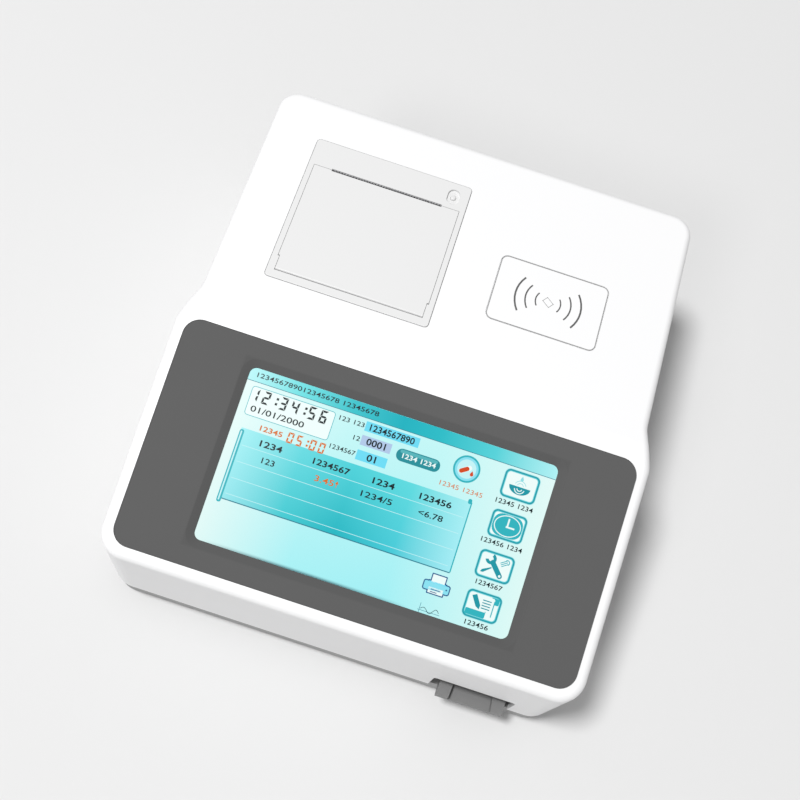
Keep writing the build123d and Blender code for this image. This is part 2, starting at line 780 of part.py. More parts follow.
def tray_chassis():
    """Channel section that guides the tray's tongues and carries motor and optics."""
    inner = tray_width / 2 + slide_gap
    groove = inner + tongue_reach
    low, high = base_floor_z, chassis_top_z
    groove_low = tongue_z - slide_gap
    groove_high = tongue_z + tongue_height + slide_gap
    right = [
        (chassis_half, low), (chassis_half, high), (inner, high), (inner, groove_high), (groove, groove_high),
        (groove, groove_low), (inner, groove_low), (inner, low + chassis_floor),
    ]
    left = [(-x, z) for x, z in reversed(right)]
    section = Pos(tray_x, 0) * make_face(Polyline(*(right + left), close=True))
    chassis = extrude(Plane.XZ.offset(-chassis_front_y) * section, -chassis_length)
    tip = pinion_pitch_radius + drive_module + 0.8
    chassis -= span(
        (rack_x - pinion_width / 2 - 1.2, rack_x + pinion_width / 2 + 1.2), (pinion_y - tip, pinion_y + tip),
        (low - 1, low + chassis_floor + 1),
    )
    left_wall = (tray_x - chassis_half - 1, tray_x - inner + 0.1)
    chassis -= side_rod(motor_shaft_radius + 0.4, pinion_y, pinion_z, *left_wall)
    # weight-saving windows in both walls behind the pinion
    for i in range(3):
        window = Pos(pinion_y + 26 + 22 * i, (low + groove_low) / 2 + 0.5) * RectangleRounded(14, 9, 2)
        chassis -= across(window, tray_x - chassis_half - 1, tray_x + chassis_half + 1)
    return chassis


def tray_motor():
    """Small gear motor: square gearbox, flattened round can, boss at the back."""
    right = tray_x - chassis_half
    gearbox = span(
        (right - gearbox_length, right), (pinion_y - gearmotor_width / 2, pinion_y + gearmotor_width / 2),
        (pinion_z - gearmotor_height / 2, pinion_z + gearmotor_height / 2),
    )
    can = Circle(gearmotor_width / 2) & Rectangle(gearmotor_width, gearmotor_height)
    can = Pos(pinion_y, pinion_z) * can
    can_end = right - gearbox_length - gearmotor_can
    motor = gearbox + across(can, can_end, right - gearbox_length)
    motor += side_rod(2.5, pinion_y, pinion_z, can_end - 1.5, can_end)
    return motor - side_rod(motor_shaft_radius + 0.05, pinion_y, pinion_z, right - 2, right)


# ---------------------------------------------------------------- reading optics
def optics_housing():
    """Black light-tight box on the tray chassis, sloped at the front over the excitation lamp."""
    low = chassis_top_z
    high = low + optics_height
    profile = make_face(FilletPolyline(
        (optics_front_y, low), (optics_rear_y, low), (optics_rear_y, high), (optics_front_y + 18, high),
        (optics_front_y, low + 16), radius=[0, 2, 4, 3, 0], close=True,
    ))
    body = across(profile, tray_x - optics_width / 2, tray_x + optics_width / 2)
    lens_y = (optics_front_y + optics_rear_y) / 2
    body -= upright_rod(lens_tube_radius, tray_x, lens_y, low - 1, low + 12)
    return body - upright_rod(lens_radius - 2, tray_x, lens_y, low, high - 6)


def objective_lens():
    lens_y = (optics_front_y + optics_rear_y) / 2
    low = chassis_top_z + 12 - lens_thickness
    lens = upright_rod(lens_radius, tray_x, lens_y, low, low + lens_thickness)
    return chamfer(lens.faces().sort_by(Axis.Z)[0].edges(), 0.6)


def detector_board():
    low = chassis_top_z + optics_height
    y = (optics_front_y + 20, optics_rear_y - 2)
    x = (tray_x - optics_width / 2 + 2, tray_x + optics_width / 2 - 2)
    board = span(x, y, (low, low + board_thickness))
    top = low + board_thickness
    board += span((tray_x - 8, tray_x + 8), (y[0] + 6, y[0] + 18), (top, top + 3))
    return board


def code_reader():
    """Small camera block over the tray, in front of the optics, that reads the cassette's code."""
    low = chassis_top_z
    y = (optics_front_y - reader_gap - reader_depth, optics_front_y - reader_gap)
    block = span((tray_x - chassis_half, tray_x + chassis_half), y, (low, low + 2))
    block += span((tray_x - reader_width / 2, tray_x + reader_width / 2), y, (low + 2, low + reader_height))
    middle = (y[0] + y[1]) / 2
    return block - upright_rod(2.6, tray_x, middle, low - 1, low + 5)


# ---------------------------------------------------------------- printer
def fascia_plan():
    return Pos(printer_x, fascia_middle_y) * RectangleRounded(fascia_width, fascia_length, fascia_corner)


def flap_plan(side_gap=0.0, front_gap=0.0, step_gap=0.0):
    """Flap seen from above, stepped in at its front corners; with the gaps, its recess."""
    half = flap_width / 2 + side_gap
    front_half = half - flap_narrowing
    front = flap_front_y - front_gap
    step = flap_front_y + flap_step_length - step_gap
    rear = flap_rear_y + side_gap
    points = [
        (-front_half, front), (front_half, front), (front_half, step), (half, step), (half, rear),
        (-half, rear), (-half, step), (-front_half, step),
    ]
    return Pos(printer_x, 0) * make_face(Polyline(*points, close=True))


def trough_profile(grow=0.0):
    """Side view of the paper trough: round bottom, open top, ramp up to the roller at the rear."""
    radius = trough_radius + grow
    front = (trough_y - radius, trough_z)
    bottom = (trough_y, trough_z - radius)
    rear = (trough_y + radius, trough_z)
    ramp_low = (trough_y + radius, trough_z + 4)
    ramp_high = (bay_front_y, platen_z - platen_radius - 1.5 - grow)
    top = recess_bottom
    return make_face(
        ThreePointArc(front, (trough_y - radius * sin(pi / 4), trough_z - radius * cos(pi / 4)), bottom)
        + ThreePointArc(bottom, (trough_y + radius * sin(pi / 4), trough_z - radius * cos(pi / 4)), rear)
        + Line(rear, ramp_low)
        + Line(ramp_low, ramp_high)
        + Line(ramp_high, (bay_front_y, top))
        + Line((bay_front_y, top), (front[0], top))
        + Line((front[0], top), front)
    )


def printer_frame():
    """Fascia flange, skirt through the deck, paper trough, flap recess and mechanism bay in one moulding."""
    frame = lift(fascia_plan(), fascia_bottom, fascia_top)
    frame = fillet(frame.faces().sort_by(Axis.Z)[-1].edges(), 0.35)
    skirt = Pos(printer_x, fascia_middle_y) * Rectangle(skirt_width, skirt_length)
    hollow = Rectangle(skirt_width - 2 * skirt_wall, skirt_length - 2 * skirt_wall)
    hollow = Pos(printer_x, fascia_middle_y) * hollow
    frame += lift(skirt, fascia_bottom - skirt_depth, fascia_bottom)
    frame -= lift(hollow, fascia_bottom - skirt_depth, top_plate_bottom)
    left = printer_x - trough_half_width
    right = printer_x + trough_half_width
    frame += across(trough_profile(trough_wall), left - trough_wall, right + trough_wall) & span(
        (left - trough_wall, right + trough_wall), (printer_front_y, skirt_rear_y), (0, top_plate_bottom)
    )
    frame -= across(trough_profile(), left, right)
    flap_recess = flap_plan(flap_side_gap, flap_gap_front, flap_step_gap)
    frame -= lift(flap_recess, recess_bottom, fascia_top + 1)
    frame -= side_rod(
        hinge_sweep, hinge_y, hinge_z,
        printer_x - flap_width / 2 + flap_narrowing - flap_side_gap,
        printer_x + flap_width / 2 - flap_narrowing + flap_side_gap,
    )
    frame -= span(
        (printer_x - bay_half_width, printer_x + bay_half_width), (bay_front_y, flap_rear_y + flap_side_gap),
        (top_plate_bottom - 20, recess_bottom + 0.1),
    )
    slot_rear = flap_rear_y + flap_side_gap
    frame -= span(
        (printer_x - slot_width / 2, printer_x + slot_width / 2), (slot_rear, slot_rear + tear_bar_thickness),
        (top_plate_bottom - 1, fascia_top + 1),
    )
    pin_reach = skirt_width / 2 + 0.1
    frame -= side_rod(hinge_pin_radius + 0.02, hinge_y, hinge_z, printer_x - pin_reach, printer_x + pin_reach)
    recess = Pos(button_x, button_y) * RectangleRounded(button_recess_width, button_recess_length, 3.1)
    frame -= lift(recess, fascia_top - button_recess_depth, fascia_top + 1)
    frame -= upright_rod(button_radius + 0.08, button_x, button_y, top_plate_bottom - 1, fascia_top)
    for x, y in printer_screw_places():
        frame -= upright_rod(small_screw_radius, x, y, top_plate_bottom - 1, fascia_bottom)
    return frame


def printer_screw_places():
    return [(printer_x + side * 18, head_y + 7) for side in (-1, 1)]


def printer_flap():
    """Flap with hinge knuckles at its front corners and two arms that carry the platen roller."""
    flap = lift(flap_plan(), flap_bottom, fascia_top)
    front_top = flap.edges().filter_by(Axis.X).group_by(Axis.Y)[0].sort_by(Axis.Z)[-1]
    flap = fillet(front_top, 0.9)
    flap -= span(
        (printer_x - slot_width / 2, printer_x + slot_width / 2), (flap_rear_y - slot_depth, flap_rear_y + 1),
        (flap_bottom - 1, fascia_top + 1),
    )
    edge = flap_width / 2 - flap_narrowing
    for side in (-1, 1):
        outer = printer_x + side * edge
        inner = printer_x + side * (edge - knuckle_length)
        flap += side_rod(knuckle_radius, hinge_y, hinge_z, *sorted((outer, inner)))
        flap -= side_rod(hinge_pin_radius + running_gap, hinge_y, hinge_z, *sorted((outer, inner + side)))
    arm = make_face(
        Polyline(
            (platen_y - platen_arm_radius - 0.9, flap_bottom), (platen_y - platen_arm_radius, platen_z),
            (platen_y + platen_arm_radius, platen_z), (platen_y + platen_arm_radius, flap_bottom), close=True,
        )
    ) + Pos(platen_y, platen_z) * Circle(platen_arm_radius)
    arm -= Pos(platen_y, platen_z) * Circle(platen_shaft_radius + running_gap)
    for side in (-1, 1):
        flap += across(arm, *sorted((printer_x + side * arm_inner, printer_x + side * arm_outer)))
    rib = make_face(Polyline(
        (hinge_y + 6, flap_bottom), (hinge_y + 10, flap_bottom - 2.5), (platen_y - 12, flap_bottom - 2.5),
        (platen_y - 9, flap_bottom), close=True,
    ))
    for side in (-1, 0, 1):
        middle = printer_x + side * 22
        flap += across(rib, middle - 0.8, middle + 0.8)
    return flap


def flap_hinge_pins():
    edge = flap_width / 2 - flap_narrowing
    pins = Part()
    for side in (-1, 1):
        ends = sorted((printer_x + side * (edge - knuckle_length + 1.5), printer_x + side * skirt_width / 2))
        pins += side_rod(hinge_pin_radius, hinge_y, hinge_z, *ends)
    return pins


def platen_roller():
    half = platen_length / 2
    tube = Circle(platen_radius) - Circle(platen_shaft_radius)
    return across(Pos(platen_y, platen_z) * tube, printer_x - half, printer_x + half)


def platen_shaft():
    left = printer_x - arm_outer - 0.6
    right = printer_x + gear_x0 + print_gear_width + 0.4
    return side_rod(platen_shaft_radius, platen_y, platen_z, left, right)


def mesh_turn(from_turn, from_teeth, to_teeth, direction):
    """Turn of a gear so that it meshes with another one; direction points from the first to the second."""
    offset = (direction - from_turn) * from_teeth / to_teeth
    return direction + 180 + offset + 180 / to_teeth


def platen_gear():
    outline = gear_outline(print_module, platen_gear_teeth, gear_backlash)
    left = printer_x + gear_x0
    return side_gear(outline, platen_shaft_radius, platen_y, platen_z, 0, left, left + print_gear_width)


def idler_direction():
    return degrees(atan2(idler_z - platen_z, idler_y - platen_y))


def stepper_direction():
    return degrees(atan2(stepper_z - idler_z, stepper_y - idler_y))


def idler_turn():
    return mesh_turn(0, platen_gear_teeth, idler_teeth, idler_direction())


def idler_gear():
    outline = gear_outline(print_module, idler_teeth, gear_backlash)
    left = printer_x + gear_x0
    bore = stepper_shaft_radius + running_gap
    return side_gear(outline, bore, idler_y, idler_z, idler_turn(), left, left + print_gear_width)


def stepper_pinion():
    outline = gear_outline(print_module, stepper_pinion_teeth, gear_backlash)
    left = printer_x + gear_x0
    turn = mesh_turn(idler_turn(), idler_teeth, stepper_pinion_teeth, stepper_direction())
    return side_gear(outline, stepper_shaft_radius, stepper_y, stepper_z, turn, left, left + print_gear_width)


def stepper_shaft():
    right = printer_x + gear_x0 + print_gear_width
    return side_rod(stepper_shaft_radius, stepper_y, stepper_z, printer_x + cheek_inner - 2, right)


def printer_bracket():
    """Folded steel channel behind the roller: back plate, two cheeks, top flange and the idler's stub pin."""
    back = skirt_rear_y - skirt_wall - 0.3
    low = stepper_z - stepper_radius - 1
    cheek_top = platen_z - platen_arm_radius - 0.5
    front = idler_y - 3
    plan = [
        (-cheek_inner - bracket_sheet, front), (-cheek_inner, front), (-cheek_inner, back - bracket_sheet),
        (cheek_inner, back - bracket_sheet), (cheek_inner, front), (cheek_inner + bracket_sheet, front),
        (cheek_inner + bracket_sheet, back), (-cheek_inner - bracket_sheet, back),
    ]
    channel = Pos(printer_x, 0) * make_face(Polyline(*plan, close=True))
    bracket = lift(channel, low, cheek_top)
    neck = (printer_x - bracket_neck / 2, printer_x + bracket_neck / 2)
    bracket += span(neck, (back - bracket_sheet, back), (cheek_top, top_plate_bottom))
    flange = span(neck, (head_y + 3.5, back), (top_plate_bottom - bracket_sheet, top_plate_bottom))
    for x, y in printer_screw_places():
        flange -= upright_rod(small_screw_radius + 0.2, x, y, 0, deck_z)
    bracket += flange
    cheek = (printer_x + cheek_inner - 1, printer_x + cheek_inner + bracket_sheet + 1)
    bracket -= side_rod(stepper_shaft_radius + 0.3, stepper_y, stepper_z, *cheek)
    pin_end = printer_x + gear_x0 + print_gear_width
    return bracket + side_rod(stepper_shaft_radius, idler_y, idler_z, printer_x + cheek_inner, pin_end)


def printer_motor():
    right = printer_x + cheek_inner
    motor = side_rod(stepper_radius, stepper_y, stepper_z, right - stepper_length, right)
    motor = chamfer(motor.faces().sort_by(Axis.X)[0].edges(), 0.8)
    return motor - side_rod(stepper_shaft_radius + 0.05, stepper_y, stepper_z, right - 3, right + 1)


def print_head():
    """Ceramic head on its heat sink, square to the roller's rear, with a cooling fin at its foot."""
    top = top_plate_bottom - 0.2
    low = top - print_head_height
    profile = make_face(Polyline(
        (head_y, low), (head_y + print_head_thickness, low), (head_y + print_head_thickness, top - 1),
        (head_y + 0.7, top), (head_y, top), close=True,
    ))
    return across(profile, printer_x - cheek_inner, printer_x + cheek_inner)


def tear_bar():
    """Thin saw-edged strip at the rear lip of the paper slot."""
    low = top_plate_bottom
    count = int(slot_width / tear_tooth_pitch)
    left = printer_x - count * tear_tooth_pitch / 2
    points = [(left, low)]
    for tooth in range(count):
        points.append((left + tooth * tear_tooth_pitch, low + tear_bar_height))
        points.append((left + (tooth + 0.5) * tear_tooth_pitch, low + tear_bar_height + 0.9))
    points += [(-left + 2 * printer_x, low + tear_bar_height), (-left + 2 * printer_x, low)]
    strip = make_face(Polyline(*points, close=True))
    back = flap_rear_y + flap_side_gap + tear_bar_thickness
    return extrude(Plane.XZ.offset(-back) * strip, tear_bar_thickness)


def paper_roll():
    ring = Circle(roll_radius) - Circle(core_radius)
    return across(Pos(trough_y, roll_z) * ring, printer_x - roll_width / 2, printer_x + roll_width / 2)


def paper_core():
    ring = Circle(core_radius) - Circle(core_bore_radius)
    half = roll_width / 2 + 0.3
    return across(Pos(trough_y, roll_z) * ring, printer_x - half, printer_x + half)


def feed_button():
    """Domed button with a collar that keeps it in the fascia."""
    top = fascia_top - 0.1
    stem = upright_rod(button_radius, button_x, button_y, top_plate_bottom - button_collar, top)
    stem = fillet(stem.faces().sort_by(Axis.Z)[-1].edges(), button_radius * 0.6)
    collar = upright_rod(
        button_flange_radius, button_x, button_y, top_plate_bottom - button_collar, top_plate_bottom
    )
    return stem + collar


def button_board():
    """Small board with the button's switch, clear of the button's travel."""
    switch_top = top_plate_bottom - button_collar - button_travel - 0.1
    low = switch_top - 3.6
    x = (button_x - 6, printer_x + skirt_width / 2 - skirt_wall)
    y = (button_y - 3.6, skirt_rear_y - skirt_wall)
    board = span(x, y, (low, low + 1.2))
    board += span((button_x - 3, button_x + 3), (button_y - 3, button_y + 3), (low + 1.2, switch_top - 0.6))
    return board + upright_rod(1.6, button_x, button_y, low + 1.2, switch_top)


def printer_screws():
    screw = pan_screw(small_screw_radius, small_head_radius, small_head_height, 3.2)
    height = top_plate_bottom - bracket_sheet
    return Part() + [Pos(x, y, height) * screw for x, y in printer_screw_places()]


# ---------------------------------------------------------------- card pad
def card_pad():
    plan = Pos(pad_x, pad_y) * RectangleRounded(pad_width, pad_length, pad_corner)
    return lift(plan, deck_z - pad_thickness, deck_z)


def card_antenna():
    top = deck_z - wall - antenna_boss_height
    plan = Pos(pad_x, pad_y) * RectangleRounded(antenna_width, antenna_length, 2)
    board = lift(plan, top - board_thickness, top)
    coil_width = antenna_width - 2 * antenna_track_inset[0]
    coil_length = antenna_length - 2 * antenna_track_inset[1]
    coil = Rectangle(coil_width, coil_length)
    coil -= Rectangle(coil_width - 2 * antenna_track, coil_length - 2 * antenna_track)
    return board + lift(Pos(pad_x, pad_y) * coil, top, top + 0.3)


# ---------------------------------------------------------------- boards, sockets and switch
def board_screw_places():
    return [
        (x, y)
        for x in (main_board_x[0] + standoff_inset, main_board_x[1] - standoff_inset)
        for y in (main_board_y[0] + standoff_inset, main_board_y[1] - 2 * standoff_inset)
    ]


def main_board():
    board = span(main_board_x, main_board_y, (main_board_z, board_top_z))
    for x, y in board_screw_places():
        board -= upright_rod(board_hole_radius, x, y, main_board_z - 1, board_top_z + 1)
    left, front = main_board_x[0], main_board_y[0]
    for x, y, width, length, height in board_chips:
        board += lift(Pos(left + x, front + y) * Rectangle(width, length), board_top_z, board_top_z + height)
    can_top = board_top_z + capacitor_height
    for x, y in capacitor_places:
        board += upright_rod(capacitor_radius, left + x, front + y, board_top_z, can_top)
    return board


def board_screws():
    screw = pan_screw(small_screw_radius, small_head_radius + 0.4, small_head_height, 7.0)
    return Part() + [Pos(x, y, board_top_z) * Rot(180, 0, 0) * screw for x, y in board_screw_places()]


def rear_sockets():
    """Sockets that stand on the board and pass through the port plate: x, underside, width, height."""
    return (
        [(power_inlet_x, board_top_z, 9.0, 11.0)]
        + [(x, board_top_z, 14.5, 7.0) for x in usb_x]
        + [(network_x, board_top_z, 16.0, 13.5), (serial_x, board_top_z, 31.0, 12.5)]
    )


def socket_shell(x, low, width, height, depth, corner=0.6):
    outline = Pos(x, low + height / 2) * RectangleRounded(width, height, corner)
    return extrude(Plane.XZ.offset(-socket_face_y) * outline, depth)


def power_inlet():
    x, low, width, height = rear_sockets()[0]
    middle = low + height / 2
    body = socket_shell(x, low, width, height, 13)
    bore = Pos(x, middle) * Circle(3.1)
    body -= extrude(Plane.XZ.offset(-socket_face_y) * bore, 9.5)
    return body + extrude(Plane.XZ.offset(-socket_face_y + 1) * (Pos(x, middle) * Circle(1.0)), 9)


def usb_sockets():
    sockets = Part()
    for x, low, width, height in rear_sockets()[1:1 + len(usb_x)]:
        shell = socket_shell(x, low, width, height, 15)
        mouth = Pos(x, low + height / 2) * Rectangle(12.5, 5.1)
        shell -= extrude(Plane.XZ.offset(-socket_face_y) * mouth, 11)
        tongue = Pos(x, low + height / 2 + 1.5) * Rectangle(11.1, 1.8)
        sockets += shell + extrude(Plane.XZ.offset(-socket_face_y + 1.5) * tongue, 10)
    return sockets


def network_socket():
    x, low, width, height = rear_sockets()[-2]
    shell = socket_shell(x, low, width, height, 18)
    middle = low + height / 2
    mouth = Pos(x, middle + 0.8) * Rectangle(11.8, 7.2) + Pos(x, middle - 3.8) * Rectangle(6.2, 3.0)
    return shell - extrude(Plane.XZ.offset(-socket_face_y) * mouth, 13)


def serial_socket():
    """Nine-way plug: steel flange, D-shaped shell and two hexagonal jack screws."""
    x, low, width, height = rear_sockets()[-1]
    middle = low + height / 2
    flange = socket_shell(x, low, width, height, 2, corner=2)
    body = extrude(Plane.XZ.offset(-socket_face_y + 2) * (Pos(x, middle) * Rectangle(19, 10.5)), 9)
    shell = make_face(FilletPolyline(
        (x - 8.4, middle + 4.2), (x + 8.4, middle + 4.2), (x + 7.0, middle - 4.2), (x - 7.0, middle - 4.2),
        radius=1.4, close=True,
    ))
    ring = extrude(Plane.XZ.offset(-socket_face_y - 2.6) * shell, 2.6)
    mouth = extrude(Plane.XZ.offset(-socket_face_y - 2.6) * offset(shell, -0.7), 7)
    socket = flange + body + ring - mouth
    upper = [(x + (i - 2) * serial_pitch, middle + serial_row / 2) for i in range(5)]
    lower = [(x + (i - 1.5) * serial_pitch, middle - serial_row / 2) for i in range(4)]
    for pin_x, pin_z in upper + lower:
        socket += extrude(Plane.XZ.offset(-socket_face_y) * (Pos(pin_x, pin_z) * Circle(0.5)), 5)
    for side in (-1, 1):
        nut = Pos(x + side * 12.5, middle) * RegularPolygon(2.6, 6)
        socket += extrude(Plane.XZ.offset(-socket_face_y - 2.6) * nut, 2.6)
    return socket


def switch_frame():
    """Snap-in frame of the power switch, with a well that the rocker turns in."""
    outer = Pos(switch_x, switch_z) * RectangleRounded(*switch_flange, 1.5)
    body = Pos(switch_x, switch_z) * Rectangle(*switch_body)
    well = Pos(switch_x, switch_z) * Rectangle(
        rocker_size[0] + 2 * rocker_gap[0], rocker_size[1] + 2 * rocker_gap[1]
    )
    frame = extrude(Plane.XZ.offset(-port_wall_y - switch_flange_thickness) * outer, switch_flange_thickness)
    frame += extrude(Plane.XZ.offset(-port_wall_y) * body, switch_body_depth)
    frame -= extrude(Plane.XZ.offset(-port_wall_y - switch_flange_thickness) * well, 7.5)
    pin_room = rocker_pin_half() + running_gap
    frame -= upright_rod(
        rocker_pin_radius + running_gap, switch_x, port_wall_y, switch_z - pin_room, switch_z + pin_room
    )
    for side in (-1, 1):
        blade = Pos(switch_x + side * 5, switch_z) * Rectangle(0.8, 6.3)
        frame += extrude(Plane.XZ.offset(-port_wall_y + switch_body_depth) * blade, 7)
    return frame


def rocker_pin_half():
    return rocker_size[1] / 2 + rocker_gap[1] + rocker_pin_reach


def power_rocker():
    """Rocker with a shallow V-shaped face on two pivot pins, the half beside the sockets pressed in."""
    half = rocker_size[0] / 2
    crown = 1.2
    tip = crown + half * tan(radians(rocker_tilt))
    profile = make_face(
        Polyline((-half, -2.0), (-half, tip), (0, crown), (half, tip), (half, -2.0), (0, -4.2), close=True)
    )
    body = extrude(profile, rocker_size[1] / 2, both=True)
    body += extrude(Circle(rocker_pin_radius), rocker_pin_half(), both=True)
    turned = Rot(0, 0, -rocker_tilt) * body
    return Pos(switch_x, port_wall_y, switch_z) * turned


sub_parts = {
    "top_cover": top_cover,
    "port_plate": port_plate,
    "base_cover": base_cover,
    "rubber_feet": rubber_feet,
    "housing_screws": housing_screws,
    "surround_plate": surround_plate,
    "touch_glass": touch_glass,
    "lcd_module": lcd_module,
    "lcd_bracket": lcd_bracket,
    "bracket_screws": bracket_screws,
    "display_driver_board": display_driver_board,
    "cassette_tray": cassette_tray,
    "tray_rack": tray_rack,
    "drive_pinion": drive_pinion,
    "motor_shaft": motor_shaft,
    "tray_chassis": tray_chassis,
    "tray_motor": tray_motor,
    "optics_housing": optics_housing,
    "objective_lens": objective_lens,
    "detector_board": detector_board,
    "code_reader": code_reader,
    "printer_frame": printer_frame,
    "printer_flap": printer_flap,
    "flap_hinge_pins": flap_hinge_pins,
    "platen_roller": platen_roller,
    "platen_shaft": platen_shaft,
    "platen_gear": platen_gear,
    "idler_gear": idler_gear,
    "stepper_pinion": stepper_pinion,
    "stepper_shaft": stepper_shaft,
    "printer_bracket": printer_bracket,
    "printer_motor": printer_motor,
    "print_head": print_head,
    "tear_bar": tear_bar,
    "paper_roll": paper_roll,
    "paper_core": paper_core,
    "feed_button": feed_button,
    "button_board": button_board,
    "printer_screws": printer_screws,
    "card_pad": card_pad,
    "card_antenna": card_antenna,
    "main_board": main_board,
    "board_screws": board_screws,
    "power_inlet": power_inlet,
    "usb_sockets": usb_sockets,
    "network_socket": network_socket,
    "serial_socket": serial_socket,
    "switch_frame": switch_frame,
    "power_rocker": power_rocker,
}

os.makedirs("parts", exist_ok=True)
for name, make in sub_parts.items():
    export_step(make(), os.path.join("parts", name + ".step"))
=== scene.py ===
import json
import math

import bmesh
import bpy
from bpy.props import FloatProperty, FloatVectorProperty, PointerProperty
from mathutils import Matrix, Vector
from mathutils.bvhtree import BVHTree


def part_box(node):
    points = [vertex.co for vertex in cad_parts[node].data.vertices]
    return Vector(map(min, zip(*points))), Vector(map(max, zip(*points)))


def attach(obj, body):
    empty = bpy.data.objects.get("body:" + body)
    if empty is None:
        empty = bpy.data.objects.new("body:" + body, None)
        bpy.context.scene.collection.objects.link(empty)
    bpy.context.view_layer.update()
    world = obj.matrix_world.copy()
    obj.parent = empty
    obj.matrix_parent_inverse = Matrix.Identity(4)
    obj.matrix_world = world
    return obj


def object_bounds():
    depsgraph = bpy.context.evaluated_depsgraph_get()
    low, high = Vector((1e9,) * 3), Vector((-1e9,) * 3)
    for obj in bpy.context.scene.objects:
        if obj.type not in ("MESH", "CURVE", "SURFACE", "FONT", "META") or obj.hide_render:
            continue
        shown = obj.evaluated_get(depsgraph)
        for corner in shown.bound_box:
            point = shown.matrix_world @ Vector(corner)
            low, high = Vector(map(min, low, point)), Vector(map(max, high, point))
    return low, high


bl_info = {
    "name": "Rapid test reader",
    "version": (1, 0, 0),
    "blender": (4, 5, 0),
    "location": "View3D > Sidebar > Test reader",
    "description": "Dresses a desktop rapid test reader: mouldings, lit screen, printed signs, sockets",
    "category": "Object",
}

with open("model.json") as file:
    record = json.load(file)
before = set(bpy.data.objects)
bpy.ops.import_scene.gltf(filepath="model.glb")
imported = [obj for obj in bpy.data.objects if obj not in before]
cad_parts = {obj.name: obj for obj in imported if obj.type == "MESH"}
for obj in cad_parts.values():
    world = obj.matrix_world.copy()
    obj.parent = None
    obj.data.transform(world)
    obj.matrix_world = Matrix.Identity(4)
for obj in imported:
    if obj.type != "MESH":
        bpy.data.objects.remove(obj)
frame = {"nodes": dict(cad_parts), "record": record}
nodes = frame["nodes"]
cad_low, cad_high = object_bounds()

MM = 0.001
WINDOW = (155.7, 86.2)      # lit area of the screen, in millimetres
PAINTED_SHADE_BAND = 4.2 * MM             # width of the bevel round the window, darkened with painted shade
DOT_PITCH = 0.19 * MM       # one picture dot of the display


# ---------------------------------------------------------------- shader helpers
class Wire:
    """A shader socket that takes part in Python arithmetic."""

    def __init__(self, shader, socket):
        self.shader = shader
        self.socket = socket

    def _maths(self, operation, *values):
        return self.shader.node("ShaderNodeMath", {"operation": operation}, dict(enumerate(values)))["Value"]

    def __add__(self, other):
        return self._maths("ADD", self, other)

    def __sub__(self, other):
        return self._maths("SUBTRACT", self, other)

    def __mul__(self, other):
        return self._maths("MULTIPLY", self, other)

    def __truediv__(self, other):
        return self._maths("DIVIDE", self, other)

    def __rsub__(self, other):
        return self._maths("SUBTRACT", other, self)

    def __rtruediv__(self, other):
        return self._maths("DIVIDE", other, self)

    def __pow__(self, other):
        return self._maths("POWER", self, other)

    def __gt__(self, other):
        return self._maths("GREATER_THAN", self, other)

    def __lt__(self, other):
        return self._maths("LESS_THAN", self, other)

    __radd__ = __add__
    __rmul__ = __mul__


class Outputs:
    """The outputs of one node, each given as a Wire by name."""

    def __init__(self, shader, node):
        self.shader = shader
        self.made = node

    def __getitem__(self, name):
        return Wire(self.shader, self.made.outputs[name])


